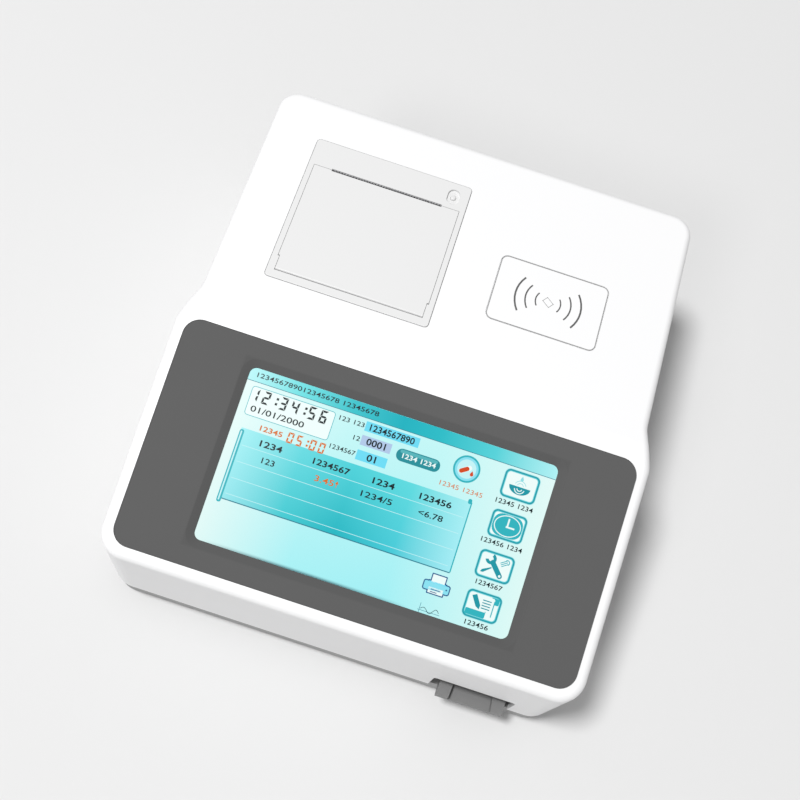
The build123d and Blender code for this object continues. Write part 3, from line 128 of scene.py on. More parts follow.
class Shader:
    """One material's node tree, with a Principled BSDF at its end."""

    def __init__(self, name, colour, roughness, metallic=0.0):
        self.material = bpy.data.materials.new(name)
        self.material.use_nodes = True
        self.tree = self.material.node_tree
        self.skin = self.tree.nodes["Principled BSDF"]
        self.skin.inputs["Base Color"].default_value = linear(colour)
        self.skin.inputs["Roughness"].default_value = roughness
        self.skin.inputs["Metallic"].default_value = metallic
        self.material.diffuse_color = linear(colour)

    @classmethod
    def reopen(cls, material):
        """Goes on with a material that is made already."""
        shader = cls.__new__(cls)
        shader.material = material
        shader.tree = material.node_tree
        shader.skin = shader.tree.nodes["Principled BSDF"]
        return shader

    def taken(self, name):
        """What is linked to a socket of the Principled BSDF."""
        return Wire(self, self.skin.inputs[name].links[0].from_socket)

    def sized(self, value):
        """A value without its sign."""
        return self.node("ShaderNodeMath", {"operation": "ABSOLUTE"}, {0: value})["Value"]

    def folded(self, value):
        """How far a value is from the nearest whole number."""
        return self.node("ShaderNodeMath", {"operation": "PINGPONG"}, {0: value, 1: 0.5})["Value"]

    def node(self, kind, settings=None, sockets=None):
        """Adds a node; its settings are set first, then its sockets are given values or links."""
        made = self.tree.nodes.new(kind)
        for key, value in (settings or {}).items():
            setattr(made, key, value)
        for key, value in (sockets or {}).items():
            self.feed(made.inputs[key], value)
        return Outputs(self, made)

    def feed(self, socket, value):
        if isinstance(value, Wire):
            self.tree.links.new(value.socket, socket)
        else:
            socket.default_value = value

    def set(self, **values):
        """Feeds sockets of the Principled BSDF, named with _ for each space."""
        for key, value in values.items():
            self.feed(self.skin.inputs[key.replace("_", " ")], value)

    def place(self, location=(0, 0, 0), rotation=(0, 0, 0)):
        """Object coordinates, counted from a place and turned."""
        coordinates = self.node("ShaderNodeTexCoord")["Object"]
        settings = {"vector_type": "TEXTURE"}
        sockets = {"Vector": coordinates, "Location": location, "Rotation": rotation}
        return self.node("ShaderNodeMapping", settings, sockets)["Vector"]

    def along(self, vector):
        """The X, Y and Z of a vector."""
        parts = self.node("ShaderNodeSeparateXYZ", None, {"Vector": vector})
        return parts["X"], parts["Y"], parts["Z"]

    def noise(self, vector, size, detail=2.0):
        sockets = {"Vector": vector, "Scale": 1.0 / size, "Detail": detail}
        return self.node("ShaderNodeTexNoise", None, sockets)["Fac"]

    def mix(self, factor, first, second):
        made = self.node("ShaderNodeMix", {"data_type": "RGBA", "clamp_factor": True})
        inputs = {s.identifier: s for s in made.made.inputs}
        self.feed(inputs["Factor_Float"], factor)
        self.feed(inputs["A_Color"], first)
        self.feed(inputs["B_Color"], second)
        outputs = {s.identifier: s for s in made.made.outputs}
        return Wire(self, outputs["Result_Color"])

    def ramp(self, factor, stops):
        made = self.node("ShaderNodeValToRGB", None, {"Fac": factor})
        band = made.made.color_ramp
        while len(band.elements) < len(stops):
            band.elements.new(1.0)
        for element, (position, colour) in zip(band.elements, stops):
            element.position = position
            element.color = linear(colour)
        return made["Color"]

    def bump(self, height, distance):
        sockets = {"Height": height, "Distance": distance, "Strength": 1.0}
        return self.node("ShaderNodeBump", None, sockets)["Normal"]


def linear(colour):
    """Scene-linear RGBA of a colour given as #rrggbb or as numbers that are linear already."""
    if not isinstance(colour, str):
        return (*tuple(colour)[:3], 1.0)
    parts = [int(colour[i:i + 2], 16) / 255 for i in (1, 3, 5)]
    return (*(c / 12.92 if c <= 0.04045 else ((c + 0.055) / 1.055) ** 2.4 for c in parts), 1.0)


def shaded(colour, share):
    """A colour made darker or lighter by one factor."""
    return (*(share * part for part in linear(colour)[:3]), 1.0)


# ---------------------------------------------------------------- finishes
def moulded_plastic(name, colour, roughness):
    """Injection-moulded plastic: fine spark-eroded grain, and a faint unevenness of tone and gloss."""
    shader = Shader(name, colour, roughness)
    spot = shader.place()
    cloud = shader.noise(spot, 35 * MM)
    fine = shader.noise(spot, 0.45 * MM, 3.0)
    tone = shader.mix(cloud * 0.06, linear(colour), shaded(colour, 0.8))
    shader.set(Base_Color=tone, Roughness=cloud * 0.08 + fine * 0.06 + (roughness - 0.07))
    shader.set(Normal=shader.bump(fine, 0.006 * MM))
    return shader.material


def plastic_with_painted_bevel_shade(name, colour, roughness, painted_shade):
    """Dull plastic of the plate round the screen, with painted shade: a little darker on the bevel down to
    the window.
    """
    material = moulded_plastic(name, colour, roughness)
    shader = Shader.reopen(material)
    shader.set(Specular_IOR_Level=0.2)
    corner, turn = screen_place()
    x, y, _ = shader.along(shader.place(corner, turn))
    half_x, half_y = WINDOW[0] * MM / 2, WINDOW[1] * MM / 2
    beside = shader.sized(x - half_x) - half_x
    above = shader.sized(y + half_y) - half_y
    reach = shader.node("ShaderNodeMath", {"operation": "MAXIMUM"}, {0: beside, 1: above})["Value"]
    soft_end = 1.4 * PAINTED_SHADE_BAND
    # painted shade: the base colour darkens on the bevel between the window edge and the flat plate
    band = shader.ramp(reach / soft_end, [(0.0, "#ffffff"), (0.6, "#e8e8e8"), (0.8, "#000000")])
    plain = shader.taken("Base Color")
    shader.set(Base_Color=shader.mix(band, plain, shaded(colour, painted_shade)))
    return material


def brushed_metal(name, colour, roughness):
    """Rolled or turned metal with fine streaks along X."""
    shader = Shader(name, colour, roughness, metallic=1.0)
    spot = shader.place()
    drawn_out = {"Vector": spot, "Scale": (1.0, 12.0, 12.0)}
    streaked = shader.node("ShaderNodeMapping", None, drawn_out)["Vector"]
    streaks = shader.noise(streaked, 3 * MM, 4.0)
    cloud = shader.noise(spot, 14 * MM)
    tone = shader.mix(cloud * 0.35, linear(colour), shaded(colour, 0.72))
    shader.set(Base_Color=tone, Roughness=streaks * 0.18 + (roughness - 0.09))
    shader.set(Normal=shader.bump(streaks, 0.004 * MM))
    return shader.material


def rubber(name, colour):
    """Dull black rubber with a fine grain and paler clouds."""
    shader = Shader(name, colour, 0.75)
    spot = shader.place()
    fine = shader.noise(spot, 0.7 * MM, 4.0)
    cloud = shader.noise(spot, 9 * MM)
    tone = shader.mix(cloud * 0.5, linear(colour), shaded(colour, 1.6))
    shader.set(Base_Color=tone, Roughness=fine * 0.2 + 0.62, Normal=shader.bump(fine, 0.02 * MM))
    return shader.material


def solder_mask(name, colour, copper):
    """Circuit board: green mask with copper tracks showing through as a lighter green."""
    shader = Shader(name, colour, 0.35)
    spot = shader.place()
    x, y, _ = shader.along(spot)
    wave = shader.noise(spot, 16 * MM) * 1.2
    track_pitch, break_pitch = 2.6 * MM, 5.2 * MM
    lines = shader.folded(y / track_pitch + wave)
    breaks = shader.folded(x / break_pitch + wave)
    track = (lines < 0.14) * (breaks > 0.12)
    tone = shader.mix(track, linear(colour), linear(copper))
    shader.set(Base_Color=tone, Normal=shader.bump(track, 0.03 * MM))
    shader.set(Roughness=shader.noise(spot, 2 * MM) * 0.1 + 0.3)
    return shader.material


def paper(name, colour):
    """Uncoated paper with short fibres."""
    shader = Shader(name, colour, 0.85)
    spot = shader.place()
    fibre = shader.noise(spot, 0.5 * MM, 5.0)
    tone = shader.mix(fibre * 0.25, linear(colour), shaded(colour, 0.85))
    shader.set(Base_Color=tone, Roughness=fibre * 0.1 + 0.8, Normal=shader.bump(fibre, 0.01 * MM))
    return shader.material


def coated_glass(name, colour):
    """Glossy dark glass under a clear coat, with a faint film."""
    shader = Shader(name, colour, 0.06)
    spot = shader.place()
    film = shader.noise(spot, 6 * MM)
    shader.set(Base_Color=shader.mix(film, linear(colour), shaded(colour, 0.6)))
    shader.set(Roughness=film * 0.05 + 0.04, Coat_Weight=0.8)
    return shader.material


def signal(name, colour):
    """Lit display colour behind glass; colour is #rrggbb, or a function of the shader that gives a Wire."""
    shader = Shader(name, (0.0, 0.0, 0.0), 0.3)
    shader.set(Specular_IOR_Level=0.15, Emission_Strength=1.0)
    glow = colour(shader) if callable(colour) else linear(colour)
    # rows of picture dots, felt more than seen
    x, y, _ = shader.along(shader.place(*screen_place()))
    row, column = shader.folded(y / DOT_PITCH), shader.folded(x / DOT_PITCH)
    dots = (row < 0.06) * 0.05 + (column < 0.06) * 0.05
    shader.set(Emission_Color=shader.mix(dots, glow, (0.0, 0.0, 0.0, 1.0)))
    return shader.material


def printed(name, colour):
    """Screen-printed ink: matt, with slightly uneven cover."""
    shader = Shader(name, colour, 0.6)
    cloud = shader.noise(shader.place(), 1.5 * MM, 3.0)
    tone = shader.mix(cloud * 0.3, linear(colour), shaded(colour, 1.35))
    shader.set(Base_Color=tone, Roughness=cloud * 0.15 + 0.5)
    return shader.material


# ---------------------------------------------------------------- places taken from the frame
def flat_top(node):
    """Middle and normal of the flat upper face of a CAD node."""
    mesh = nodes[node].data
    normal, middle, area = Vector(), Vector(), 0.0
    for face in mesh.polygons:
        if face.normal.z > 0.5:
            normal += face.normal * face.area
            middle += face.center * face.area
            area += face.area
    return middle / area, normal.normalized()


def screen_place():
    """Upper left corner of the window on the touch glass, and the turn of the glass about X."""
    middle, normal = flat_top("touch_glass")
    slope = math.atan2(-normal.y, normal.z)
    up = Vector((0, math.cos(slope), math.sin(slope)))
    corner = middle + Vector((-WINDOW[0] / 2, 0, 0)) * MM + up * (WINDOW[1] / 2 * MM)
    return tuple(corner), (slope, 0.0, 0.0)


def touched(node, start, direction):
    """Where a line first meets a CAD node, and the face's normal there."""
    mesh = nodes[node].data
    tree = BVHTree.FromPolygons([v.co for v in mesh.vertices], [p.vertices for p in mesh.polygons])
    place, normal, _, _ = tree.ray_cast(Vector(start), Vector(direction))
    if place is None:
        raise ValueError("nothing of " + node + " lies there")
    return place, normal


def evaluated_mesh(holder):
    """Plain mesh of an object with its modifiers applied, or of a text."""
    bpy.context.view_layer.update()
    return bpy.data.meshes.new_from_object(holder.evaluated_get(bpy.context.evaluated_depsgraph_get()))


# ---------------------------------------------------------------- rows of equal blocks
def row_tree():
    """Geometry Nodes tree: a row of equal blocks along X, the first in the middle of the origin."""
    tree = bpy.data.node_groups.new("row_of_blocks", "GeometryNodeTree")
    for name, kind, value in (
        ("Count", "NodeSocketInt", 4), ("Pitch", "NodeSocketFloat", 1.0),
        ("Size", "NodeSocketVector", (1, 1, 1)), ("Finish", "NodeSocketMaterial", None),
    ):
        socket = tree.interface.new_socket(name, in_out="INPUT", socket_type=kind)
        if value is not None:
            socket.default_value = value
    tree.interface.new_socket("Geometry", in_out="OUTPUT", socket_type="NodeSocketGeometry")

    def node(kind, sockets, **settings):
        made = tree.nodes.new(kind)
        for key, value in settings.items():
            setattr(made, key, value)
        for key, value in sockets.items():
            if isinstance(value, bpy.types.NodeSocket):
                tree.links.new(value, made.inputs[key])
            else:
                made.inputs[key].default_value = value
        return made

    given = tree.nodes.new("NodeGroupInput").outputs
    step = node("ShaderNodeCombineXYZ", {"X": given["Pitch"]}).outputs["Vector"]
    line = node("GeometryNodeMeshLine", {"Count": given["Count"], "Offset": step}, mode="OFFSET")
    cube = node("GeometryNodeMeshCube", {"Size": given["Size"]})
    copied = {"Points": line.outputs["Mesh"], "Instance": cube.outputs["Mesh"]}
    spread = node("GeometryNodeInstanceOnPoints", copied)
    solid = node("GeometryNodeRealizeInstances", {"Geometry": spread.outputs["Instances"]})
    worn = {"Geometry": solid.outputs["Geometry"], "Material": given["Finish"]}
    finished = node("GeometryNodeSetMaterial", worn)
    end = tree.nodes.new("NodeGroupOutput")
    tree.links.new(finished.outputs["Geometry"], end.inputs[0])
    return tree


def block_row(finish, place, **sizes):
    """Plain mesh of one row of blocks at a place, made by the tree."""
    tree = bpy.data.node_groups.get("row_of_blocks") or row_tree()
    holder = bpy.data.objects.new("row", bpy.data.meshes.new("row"))
    bpy.context.scene.collection.objects.link(holder)
    modifier = holder.modifiers.new("row", "NODES")
    modifier.node_group = tree
    given = {**sizes, "Finish": finish}
    for socket in tree.interface.items_tree:
        if socket.in_out == "INPUT" and socket.name in given:
            modifier[socket.identifier] = given[socket.name]
    mesh = evaluated_mesh(holder)
    mesh.transform(place)
    bpy.data.objects.remove(holder)
    return mesh


# ---------------------------------------------------------------- thin printed and lit shapes
FINE, PLAIN, BOLD = 0.010, 0.012, 0.022     # how much heavier the three weights of numbers are drawn


class Sheet:
    """Thin closed plates on a flat place. Outlines are in millimetres, x to the right and y downwards."""

    STEP = 0.02             # each level stands this much higher, in millimetres

    def __init__(self, name, place, inks):
        self.name = name
        self.place = place
        self.inks = inks
        self.order = list(inks)
        self.mesh = bmesh.new()

    def point(self, x, y, height):
        """Adds one vertex, at a height above the sheet."""
        return self.mesh.verts.new(self.place @ Vector((x * MM, -y * MM, height * MM)))

    def plate(self, outline, ink, level=1):
        """Adds the closed plate that has one outline."""
        top = level * self.STEP
        high = [self.point(x, y, top) for x, y in outline]
        low = [self.point(x, y, 0.0) for x, y in outline]
        faces = [self.mesh.faces.new(high), self.mesh.faces.new(low[::-1])]
        for i in range(len(outline)):
            j = (i + 1) % len(outline)
            faces.append(self.mesh.faces.new((low[i], low[j], high[j], high[i])))
        for face in faces:
            face.material_index = self.order.index(ink)

    def box(self, left, top, right, bottom, ink, level=1, corner=0.0):
        self.plate(rounded(left, top, right, bottom, corner), ink, level)

    def arc(self, x, y, radius, width, start, end, ink, level=1):
        """Band of a circle between two angles in degrees, counted from +x towards -y, upwards."""
        outer, inner = radius + width / 2, radius - width / 2
        count = max(3, int((end - start) / 8))
        turns = [math.radians(start + (end - start) * i / count) for i in range(count + 1)]
        band = [(x + outer * math.cos(t), y - outer * math.sin(t)) for t in turns]
        band += [(x + inner * math.cos(t), y - inner * math.sin(t)) for t in reversed(turns)]
        self.plate(band, ink, level)

    def ring(self, x, y, radius, width, ink, level=1):
        self.arc(x, y, radius, width, 0, 180, ink, level)
        self.arc(x, y, radius, width, 180, 360, ink, level)

    def disc(self, x, y, radius, ink, level=1):
        self.plate(circle(x, y, radius), ink, level)

    def stroke(self, points, width, ink, level=1):
        """A line of one width through some points, with square ends."""
        for (x1, y1), (x2, y2) in zip(points, points[1:]):
            length = math.hypot(x2 - x1, y2 - y1)
            ux, uy = (x2 - x1) / length * width / 2, (y2 - y1) / length * width / 2
            corners = [(x1 - ux - uy, y1 - uy + ux), (x1 - ux + uy, y1 - uy - ux),
                       (x2 + ux + uy, y2 + uy - ux), (x2 + ux - uy, y2 + uy + ux)]
            self.plate(corners, ink, level)

    def border(self, left, top, right, bottom, corner, width, ink, level=1):
        """Outline of a rounded rectangle, as four corner bands and four straights."""
        radius = corner - width / 2
        for x, y, start in ((right - corner, top + corner, 0), (left + corner, top + corner, 90),
                            (left + corner, bottom - corner, 180), (right - corner, bottom - corner, 270)):
            self.arc(x, y, radius, width, start, start + 90, ink, level)
        self.box(left + corner, top, right - corner, top + width, ink, level)
        self.box(left + corner, bottom - width, right - corner, bottom, ink, level)
        self.box(left, top + corner, left + width, bottom - corner, ink, level)
        self.box(right - width, top + corner, right, bottom - corner, ink, level)

    def segments(self, text, left, top, height, pitch, ink, level=1):
        """Seven-segment numerals, leaning a little to the right."""
        for sign in text:
            for outline in segment_shapes(sign, height):
                lean = [(left + x + (height - y) * 0.06, top + y) for x, y in outline]
                self.plate(lean, ink, level)
            left += pitch * (0.5 if sign == ":" else 1.0)

    def numerals(self, text, left, middle, width, height, ink, level=1, weight=0.0):
        """Plain numbers, drawn as text, fitted to a width and laid flat as a thin closed mesh."""
        curve = bpy.data.curves.new("numerals", "FONT")
        curve.body = text
        curve.extrude = 0.5
        curve.resolution_u = 3
        curve.offset = weight
        holder = bpy.data.objects.new("numerals", curve)
        bpy.context.scene.collection.objects.link(holder)
        drawn = evaluated_mesh(holder)
        across, up = [v.co.x for v in drawn.vertices], [v.co.y for v in drawn.vertices]
        scale = height / (max(up) - min(up))
        stretch = width / (max(across) - min(across))
        top = level * self.STEP
        made = []
        for x, y, vertex in zip(across, up, drawn.vertices):
            right, down = (x - min(across)) * stretch, height / 2 - (y - min(up)) * scale
            made.append(self.point(left + right, middle + down, top if vertex.co.z > 0 else 0.0))
        for face in drawn.polygons:
            self.mesh.faces.new([made[i] for i in face.vertices]).material_index = self.order.index(ink)
        bpy.data.objects.remove(holder)
        bpy.data.curves.remove(curve)
        bpy.data.meshes.remove(drawn)

    def finish(self, body, slot):
        """Makes the piece and rides it on its body; the slot is not used."""
        bmesh.ops.recalc_face_normals(self.mesh, faces=self.mesh.faces)
        bmesh.ops.triangulate(self.mesh, faces=self.mesh.faces, ngon_method="EAR_CLIP")
        mesh = bpy.data.meshes.new(self.name)
        self.mesh.to_mesh(mesh)
        self.mesh.free()
        for ink in self.order:
            mesh.materials.append(self.inks[ink])
        piece = bpy.data.objects.new(self.name, mesh)
        bpy.context.scene.collection.objects.link(piece)
        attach(piece, body)
        return piece


def ellipse(x, y, half_width, half_height):
    count = 48
    turns = [2 * math.pi * i / count for i in range(count)]
    return [(x + half_width * math.cos(t), y + half_height * math.sin(t)) for t in turns]


def circle(x, y, radius):
    return ellipse(x, y, radius, radius)


def drop_shape(x, tip, radius):
    """Drop with its tip up."""
    turns = [math.radians(50 + 26 * i) for i in range(11)]
    round_part = [(x + radius * math.sin(t), tip + 2.1 * radius - radius * math.cos(t)) for t in turns]
    return [(x, tip)] + round_part


def rounded(left, top, right, bottom, corner):
    """Outline of a rectangle with rounded corners."""
    if corner <= 0:
        return [(left, bottom), (right, bottom), (right, top), (left, top)]
    points = []
    for x, y, start in ((right - corner, bottom - corner, 0), (left + corner, bottom - corner, 90),
                        (left + corner, top + corner, 180), (right - corner, top + corner, 270)):
        for step in range(7):
            turn = math.radians(start + 15 * step)
            points.append((x + corner * math.cos(turn), y + corner * math.sin(turn)))
    return points


def turned(points, x, y, degrees):
    """Points turned about a place, clockwise on the sheet."""
    c, s = math.cos(math.radians(degrees)), math.sin(math.radians(degrees))
    return [(x + (a - x) * c - (b - y) * s, y + (a - x) * s + (b - y) * c) for a, b in points]


def figures(*lengths):
    """Groups of counting numbers, each as long as the word whose place it takes."""
    return " ".join(("1234567890" * 2)[:length] for length in lengths)


# the strokes that each numeral lights: a to f go round clockwise from the top, g is the middle one
STROKES = {
    "0": "abcdef", "1": "bc", "2": "abged", "3": "abgcd", "4": "fgbc",
    "5": "afgcd", "6": "afgedc", "7": "abc", "8": "abcdefg", "9": "abcdfg",
}


def segment_shapes(sign, height):
    """Outlines of one seven-segment numeral, or of a colon, from its upper left corner."""
    wide, thick = height * 0.56, height * 0.155
    if sign == ":":
        left, half_dot = wide * 0.2, thick * 0.6
        return [rounded(left, y - half_dot, left + 2 * half_dot, y + half_dot, 0.0)
                for y in (height * 0.3, height * 0.7)]
    gap, half = thick * 0.12, height / 2
    level = [(gap, 0), (wide - gap, 0), (wide - thick - gap, thick), (thick + gap, thick)]
    upright = [(0, gap), (thick, thick + gap), (thick, half - thick / 2 - gap), (0, half - gap)]
    middle = [(gap * 2, half), (thick, half - thick / 2), (wide - thick, half - thick / 2),
              (wide - gap * 2, half), (wide - thick, half + thick / 2), (thick, half + thick / 2)]
    across = {"a": level, "d": [(x, height - y) for x, y in level], "g": middle}
    sides = {
        "f": upright, "b": [(wide - x, y) for x, y in upright], "e": [(x, height - y) for x, y in upright],
        "c": [(wide - x, height - y) for x, y in upright],
    }
    return [{**across, **sides}[stroke] for stroke in STROKES[sign]]


# ---------------------------------------------------------------- values that a user would change
class FinishSettings(bpy.types.PropertyGroup):
    """Colours of the mouldings, as linear RGB."""

    housing: FloatVectorProperty(
        name="Housing", description="White upper moulding", subtype="COLOR", size=3,
        default=(0.83, 0.83, 0.835),
    )
    base: FloatVectorProperty(
        name="Base", description="Grey base tub", subtype="COLOR", size=3,
        default=(0.30, 0.30, 0.30),
    )
    surround: FloatVectorProperty(
        name="Surround", description="Dark plate round the screen", subtype="COLOR", size=3,
        default=(0.092, 0.092, 0.092),
    )
    tray: FloatVectorProperty(
        name="Tray", description="Cassette tray", subtype="COLOR", size=3,
        default=(0.17, 0.17, 0.17),
    )
    printer: FloatVectorProperty(
        name="Printer", description="Printer fascia and flap", subtype="COLOR", size=3,
        default=(0.71, 0.71, 0.71),
    )
    housing_roughness: FloatProperty(
        name="Housing roughness", description="Gloss of the white moulding", subtype="FACTOR",
        default=0.42, min=0.0, max=1.0,
    )


class StageSettings(bpy.types.PropertyGroup):
    """Camera and light of the picture."""

    lens: FloatProperty(
        name="Lens", description="Focal length in millimetres", default=50.0, min=10.0, max=300.0,
    )
    roll: FloatProperty(
        name="Roll", description="Turn of the picture about the view", subtype="ANGLE",
        default=math.radians(18.18),
    )
    tilt: FloatProperty(
        name="Tilt", description="Angle between the view and straight down", subtype="ANGLE",
        default=math.radians(22.9),
    )
    eye: FloatVectorProperty(
        name="Eye", description="Place of the camera", subtype="TRANSLATION", unit="LENGTH", size=3,
        default=(-0.00514, -0.2252, 0.6015),
    )
    sky: FloatProperty(name="Sky", description="Strength of the even light", default=0.34, min=0.0, max=5.0)
    key: FloatProperty(
        name="Key", description="Power of the main light in watts", subtype="POWER", default=300.0, min=0.0,
    )
    key_from: FloatVectorProperty(
        name="Key from", description="Direction that the main light comes from",
        subtype="DIRECTION", size=3, default=(-0.31, -0.11, 0.945),
    )
    fill: FloatProperty(
        name="Fill", description="Power of the lower light in watts", subtype="POWER", default=48.0, min=0.0,
    )
    fill_from: FloatVectorProperty(
        name="Fill from", description="Direction that the lower light comes from",
        subtype="DIRECTION", size=3, default=(-0.3, -0.64, 0.71),
    )


# ---------------------------------------------------------------- operators
def wear(node, material):
    """Gives a CAD node its finish."""
    slots = nodes[node].data.materials
    slots.clear()
    slots.append(material)


class READER_OT_finishes(bpy.types.Operator):
    """Give every piece of the reader its material"""

    bl_idname = "reader.finishes"
    bl_label = "Finishes"

    def execute(self, context):
        values = context.scene.reader_finishes
        made = {
            "white_housing": moulded_plastic("housing_plastic", values.housing, values.housing_roughness),
            "grey_base": moulded_plastic("base_plastic", values.base, 0.5),
            # the surround plate carries painted shade on the bevel round the window
            "dark_panel": plastic_with_painted_bevel_shade("surround_plastic_painted_shade", values.surround, 0.72, 0.88),
            "screen_glass": coated_glass("touch_glass", (0.02, 0.03, 0.03)),
            "steel": brushed_metal("zinc_steel", (0.62, 0.62, 0.63), 0.35),
            "aluminium_parts": brushed_metal("milled_aluminium", (0.72, 0.72, 0.73), 0.3),
            "rubber_black": rubber("black_rubber", (0.025, 0.025, 0.025)),
            "circuit_board": solder_mask("green_board", (0.012, 0.12, 0.05), (0.04, 0.22, 0.08)),
            "grey_tray": moulded_plastic("tray_plastic", values.tray, 0.45),
            "black_plastic": moulded_plastic("black_plastic", (0.02, 0.02, 0.02), 0.45),
            "printer_white": moulded_plastic("printer_plastic", values.printer, 0.45),
            "gear_plastic": moulded_plastic("acetal", (0.78, 0.75, 0.66), 0.4),
            "paper": paper("receipt_paper", (0.82, 0.82, 0.80)),
            "lens_glass": coated_glass("lens_glass", (0.25, 0.30, 0.42)),
        }
        for part in frame["record"]["subparts"]:
            wear(part["node"], made[part["material_slot"]])
        return {"FINISHED"}


# ---------------------------------------------------------------- lit screen
def page_glow(shader):
    """Pale cyan page, lightest at its sides and at the top."""
    x, y, _ = shader.along(shader.place(*screen_place()))
    across = x / (WINDOW[0] * MM)
    down = y / (-WINDOW[1] * MM)
    upper = shader.ramp(across, [(0.0, "#e4f8f6"), (0.35, "#c8f7f6"), (0.65, "#c6f8f7"), (1.0, "#e4fbf8")])
    lower = shader.ramp(across, [(0.0, "#e0f8f5"), (0.3, "#a8f1f5"), (0.6, "#a2f0f5"), (1.0, "#dcfaf6")])
    return shader.mix(down, upper, lower)


def header_glow(shader):
    """Teal bar, deepest in its middle."""
    x, _, _ = shader.along(shader.place(*screen_place()))
    stops = [(0.0, "#b4f3f5"), (0.17, "#6ae0e3"), (0.34, "#33c3cc"), (0.5, "#08b2c0"), (0.62, "#22bcc7"),
             (0.8, "#55d3da"), (1.0, "#b0f2f5")]
    return shader.ramp(x / (WINDOW[0] * MM), stops)


def painted_shadow_glow(shader):
    """Painted shadow of the window's lower edge on the page: a soft dark streak that rises from the lower
    edge of the page and fades to both sides.
    """
    x, y, _ = shader.along(shader.place(*screen_place()))
    middle, reach = PAINTED_SHADOW
    beside = (x - middle * MM) / (reach * MM)
    above = (y + WINDOW[1] * MM) / (PAINTED_SHADOW_DEPTH * MM)
    # painted shadow: the page colour is mixed towards dark slate, most near the lower edge and the middle
    return shader.mix((1 - beside * beside) * (1 - above) ** 1.5, page_glow(shader), linear("#2e5a66"))


def table_glow(shader):
    """Teal panel, deepest in the middle of its lower edge."""
    x, y, _ = shader.along(shader.place(*screen_place()))
    left, top, right, bottom = TABLE
    across = (x - left * MM) / ((right - left) * MM)
    down = (y + top * MM) / ((top - bottom) * MM)
    upper = shader.ramp(across, [(0.0, "#a4f0f4"), (0.27, "#62dae1"), (0.5, "#48d2da"), (0.75, "#5ddbe0"),
                                 (1.0, "#aaf0f5")])
    lower = shader.ramp(across, [(0.0, "#9ae8ef"), (0.27, "#3ccad2"), (0.5, "#15b6c2"), (0.75, "#42cad8"),
                                 (1.0, "#a2ecf5")])
    return shader.mix(down, upper, lower)


# all in millimetres from the upper left corner of the window
PAINTED_SHADOW = (56.0, 52.0)        # middle and reach of the painted shadow along the lower edge
PAINTED_SHADOW_DEPTH = 1.7
TABLE = (5.0, 29.4, 120.6, 64.0)        # left, top, right, bottom
TILES = (                   # left, top, right, bottom of each button on the right of the page
    (131.4, 7.8, 149.2, 22.0), (131.3, 28.0, 149.0, 41.8),
    (131.3, 48.0, 149.0, 61.7), (131.2, 67.6, 148.8, 81.2),
)


def screen_inks():
    """The colours that the page is drawn with."""
    colours = {
        "page": page_glow, "header": header_glow, "table": table_glow, "painted_shade": painted_shadow_glow,
        "night": "#0a1d22", "slate": "#20474e", "line": "#2c7f93", "blue": "#2b5f92", "teal": "#2fb4bf",
        "rim": "#1d98a6", "edge": "#8fdde4", "rule": "#c4f3f6", "mist": "#eefdfb", "sky": "#8ae2f2",
        "cyan": "#6bdcf5", "lavender": "#b0c8e8", "pill": "#1f8f9a", "pill_light": "#55b4ba",
        "orange": "#d9701c", "red": "#d4481c",
    }
    return {name: signal(name + "_glow", colour) for name, colour in colours.items()}


def draw_page(sheet):
    """Page, header bar and the painted shadow along the lower edge."""
    width, height = WINDOW
    sheet.box(0.05, 0.05, width - 0.05, height - 0.05, "page", 1, 3.45)
    head = rounded(0.1, 0.1, width - 0.1, 9.0, 3.4)
    head = [(x, min(y, 6.4)) for x, y in head]
    corners = [p for i, p in enumerate(head) if p != head[i - 1]]
    sheet.plate(corners, "header", 2)
    sheet.box(0.1, 6.4, width - 0.1, 6.7, "line", 2)
    sheet.numerals(figures(18, 8), 4.0, 3.1, 61.4, 2.4, "night", 3, PLAIN)
    # painted shadow of the window's lower edge along the bottom of the page
    middle, reach = PAINTED_SHADOW
    sheet.box(middle - reach, height - PAINTED_SHADOW_DEPTH, middle + reach, height - 0.1, "painted_shade", 2)


def draw_clock(sheet):
    """Clock and date in their box, and the waiting time below."""
    left, top, right, bottom, corner = 3.7, 8.6, 45.7, 23.0, 1.6
    sheet.box(left, top, right, bottom, "mist", 2, corner)
    sheet.border(left, top, right, bottom, corner, 0.3, "teal", 3)
    sheet.segments("12:34:56", 4.0, 9.5, 6.3, 5.75, "night", 3)
    sheet.numerals("01/01/2000", 6.0, 19.3, 26.8, 3.0, "night", 3, PLAIN)
    sheet.numerals(figures(5), 13.4, 27.0, 11.2, 2.6, "orange", 4, BOLD)
    sheet.segments("05:00", 27.0, 24.5, 5.2, 4.5, "orange", 4)


def draw_fields(sheet):
    """Three numbers on coloured fields with their labels, and a button shaped like a pill."""
    for left, top, right, bottom, ink, number, span, label, label_span in (
        (60.9, 7.9, 88.0, 12.7, "cyan", "1234567890", 22.4, figures(3, 3), 12.6),
        (60.9, 14.8, 76.0, 19.7, "lavender", "0001", 9.6, figures(2), 3.3),
        (60.9, 22.1, 76.0, 27.0, "cyan", "01", 4.6, figures(7), 12.8),
    ):
        middle = (top + bottom) / 2
        sheet.box(left, top, right, bottom, ink, 2)
        sheet.numerals(number, (left + right - span) / 2, middle, span, 3.4, "night", 3, BOLD)
        sheet.numerals(label, left - 0.5 - label_span, middle, label_span, 2.3, "night", 2, FINE)
    sheet.box(79.0, 15.1, 100.9, 21.2, "pill", 2, 2.9)
    sheet.box(80.6, 15.6, 99.3, 17.2, "pill_light", 3, 0.75)
    sheet.numerals(figures(4, 4), 82.1, 18.3, 16.8, 2.4, "mist", 4, BOLD)


